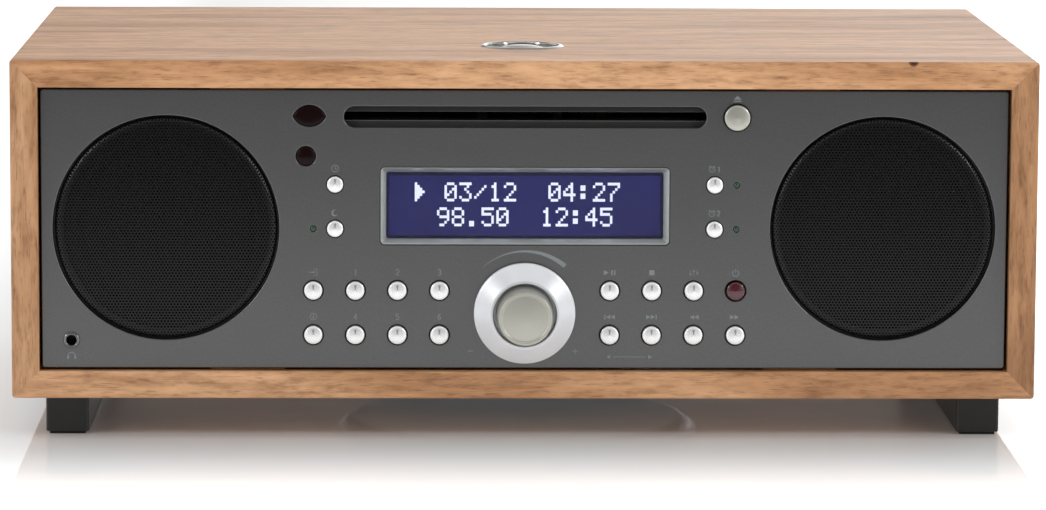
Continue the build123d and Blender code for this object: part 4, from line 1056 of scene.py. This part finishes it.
def screw_head(x, z, radius, height, base):
    """Low round head with a cross recess, and its shank."""
    loops = []
    count = 96
    for share, level in ((1.0, 0.0), (1.0, 0.25), (0.93, 0.55), (0.8, 0.78), (0.66, 0.92)):
        loops.append([(u, v, base + height * level) for u, v in circle(x, z, radius * share, count)])

    def cross(reach, half):
        made = []
        for k in range(count):
            a = 2 * math.pi * k / count
            near = (a + math.pi / 4) % (math.pi / 2) - math.pi / 4
            arm = min(reach / max(math.cos(near), 1e-6), half / max(abs(math.sin(near)), 1e-6))
            made.append((x + arm * math.cos(a), z + arm * math.sin(a)))
        return made

    loops.append([(u, v, base + height) for u, v in cross(radius * 0.56, radius * 0.13)])
    loops.append([(u, v, base + height * 0.25) for u, v in cross(radius * 0.40, radius * 0.08)])
    shank = lathe([(0, base), (1.4, base), (1.4, base - 9.5), (0.2, base - 10)], 24, at=(x, z))
    return [loft(loops, caps=True), shank]


heads = [shape for x, z in screw_places for shape in screw_head(x, z, screw_head_r, 2.0, 0.02)]
make("back_screws", heads, ["screw_steel"], "cabinet", "back", behind, ["screws"], 40)
foot_r = 3.6
foot_x = screws_high.x - foot_r
foot_setback = 112.6  # from the bottom board's front edge
board_low = corners("cabinet_bottom")[0]
foot_y, under_z = board_low.y + foot_setback, board_low.z
foot_heads = [shape for x in (-foot_x, foot_x) for shape in screw_head(x, 0, foot_r, 0.9, -0.9)]
make("foot_screws", foot_heads, ["screw_steel"], "cabinet", "under", (0, foot_y, under_z), ["screws"], 40)

# ---- camera
pitch, yaw, roll = math.radians(7.627), math.radians(1.394), math.radians(0.284)
forward = Vector((math.sin(yaw) * math.cos(pitch), math.cos(yaw) * math.cos(pitch), -math.sin(pitch)))
right = Vector((math.cos(yaw), -math.sin(yaw), 0))
up = right.cross(forward)
across = right * math.cos(roll) + up * math.sin(roll)
upward = up * math.cos(roll) - right * math.sin(roll)
camera_data = bpy.data.cameras.new("camera")
camera_data.lens = 170.68  # narrow view from almost 2 m
camera_data.sensor_width = 36.0
camera = bpy.data.objects.new("camera", camera_data)
scene.collection.objects.link(camera)
stand = Vector((-42.5, -1823.15, 295.5)) * MM
turn = Matrix((across, upward, -forward)).transposed().to_4x4()
camera.matrix_world = Matrix.Translation(stand) @ turn
camera_data.clip_end = 50
scene.camera = camera

# ---- floor and light
def stage(name, outline, height, material):
    """Level sheet that isn't part of the object."""
    mesh = bpy.data.meshes.new(name)
    mesh.from_pydata([(x, y, height) for x, y in outline], [], [(0, 1, 2, 3)])
    mesh.materials.append(material)
    sheet = bpy.data.objects.new(name, mesh)
    scene.collection.objects.link(sheet)
    return sheet


# Glossy near the cabinet, and fading to plain white in front of it and beside it; that white is a painted glow,
# which also lights the lower panel
footprint_x, footprint_y, fade_length = 0.165, -0.100, 0.115
floor_material, tree, shader, place = blank()
floor_material.name = "floor_gloss_and_painted_glow"
spot = add(tree, "SeparateXYZ", {0: place})
beside = maths(tree, "SUBTRACT", maths(tree, "ABSOLUTE", spot.outputs["X"]), footprint_x)
before = maths(tree, "SUBTRACT", footprint_y, spot.outputs["Y"])
clipped = {"X": maths(tree, "MAXIMUM", beside, 0.0), "Y": maths(tree, "MAXIMUM", before, 0.0)}
reach = vectors(tree, "LENGTH", add(tree, "CombineXYZ", clipped).outputs[0])
gloss_to_glow = ranged(tree, reach, 0.0, fade_length, 0.0, 1.0, interpolation_type="SMOOTHSTEP")
pale = ramp(tree, noise(tree, place, 3, 2), [(0.3, 0.93), (0.7, 0.95)])
# Painted glow: the floor gives off light, weakest near the cabinet
set_shader(shader, Base_Color=pale, Emission_Color=(1, 1, 1, 1),
           Emission_Strength=ranged(tree, gloss_to_glow, 0.0, 1.0, 0.03, 0.50),
           Specular_IOR_Level=ranged(tree, gloss_to_glow, 0.0, 1.0, 0.5, 0.12), Roughness=0.03, IOR=1.45)
size = 12
stage("floor", [(-size, -size), (size, -size), (size, size), (-size, size)], 0, floor_material)

# Black card laid towards the viewer, which only the upper half of the panel and the display mirror
card_material = plain(rgb(40, 40, 40), 0.9)
card_material.name = "card_black"
card = stage("card", [(-2.5, -6.0), (2.5, -6.0), (1.6, -0.62), (-1.6, -0.62)], 0.001, card_material)
card.visible_camera = card.visible_diffuse = card.visible_shadow = False

# Studio walls: a dark strip behind the camera, lighter behind the cabinet, and a falling ceiling
world = bpy.data.worlds.new("studio")
scene.world = world
world.use_nodes = True
tree = world.node_tree
tree.nodes.clear()
way = add(tree, "TexCoord").outputs["Generated"]
split = add(tree, "SeparateXYZ", {0: way})
across_way, depth, rise = (split.outputs[axis] for axis in "XYZ")
dark_tilt = math.radians(12)
toward = vectors(tree, "DOT_PRODUCT", way, Vector((0.0, -math.cos(dark_tilt), math.sin(dark_tilt))))
gap = ranged(tree, toward, 0.86, 0.97, 1.0, 0.12)
behind_glow = ranged(tree, depth, 0.2, 1.0, 0.82, 1.28)
ceiling = ranged(tree, rise, 0.0, 1.0, 1.34, 0.22)
leftward = ranged(tree, across_way, -0.22, 0.15, 0.05, 1.3)
rear_only = ranged(tree, depth, 0.75, 0.95, 0.0, 1.0)
falling = add(tree, "Mix", {0: rear_only, 2: 1.0, 3: leftward}, data_type="FLOAT").outputs[0]
level = maths(tree, "MULTIPLY", maths(tree, "MULTIPLY", gap, behind_glow), ceiling)
level = maths(tree, "MULTIPLY", level, falling)
background = add(tree, "Background", {"Color": (1, 1, 1, 1), "Strength": level})
add(tree, "OutputWorld", {"Surface": background.outputs[0]})


def softbox(name, place, aim, width, height, power):
    """Rectangular area light turned towards its aim."""
    data = bpy.data.lights.new(name, "AREA")
    data.shape = "RECTANGLE"
    data.size, data.size_y, data.energy = width, height, power
    lamp = bpy.data.objects.new(name, data)
    scene.collection.objects.link(lamp)
    lamp.location = place
    lamp.rotation_mode = "QUATERNION"
    lamp.rotation_quaternion = (Vector(aim) - Vector(place)).to_track_quat("-Z", "Y")


softbox("overhead", (0.0, -0.25, 1.15), (0, 0.0, 0), 1.3, 0.9, 3)
softbox("left_card", (-1.3, -0.9, 0.8), (0, 0, 0.1), 0.26, 0.36, 4.5)
softbox("right_card", (1.3, -0.9, 0.8), (0, 0, 0.1), 0.26, 0.36, 6)

scene.view_settings.view_transform = "Standard"
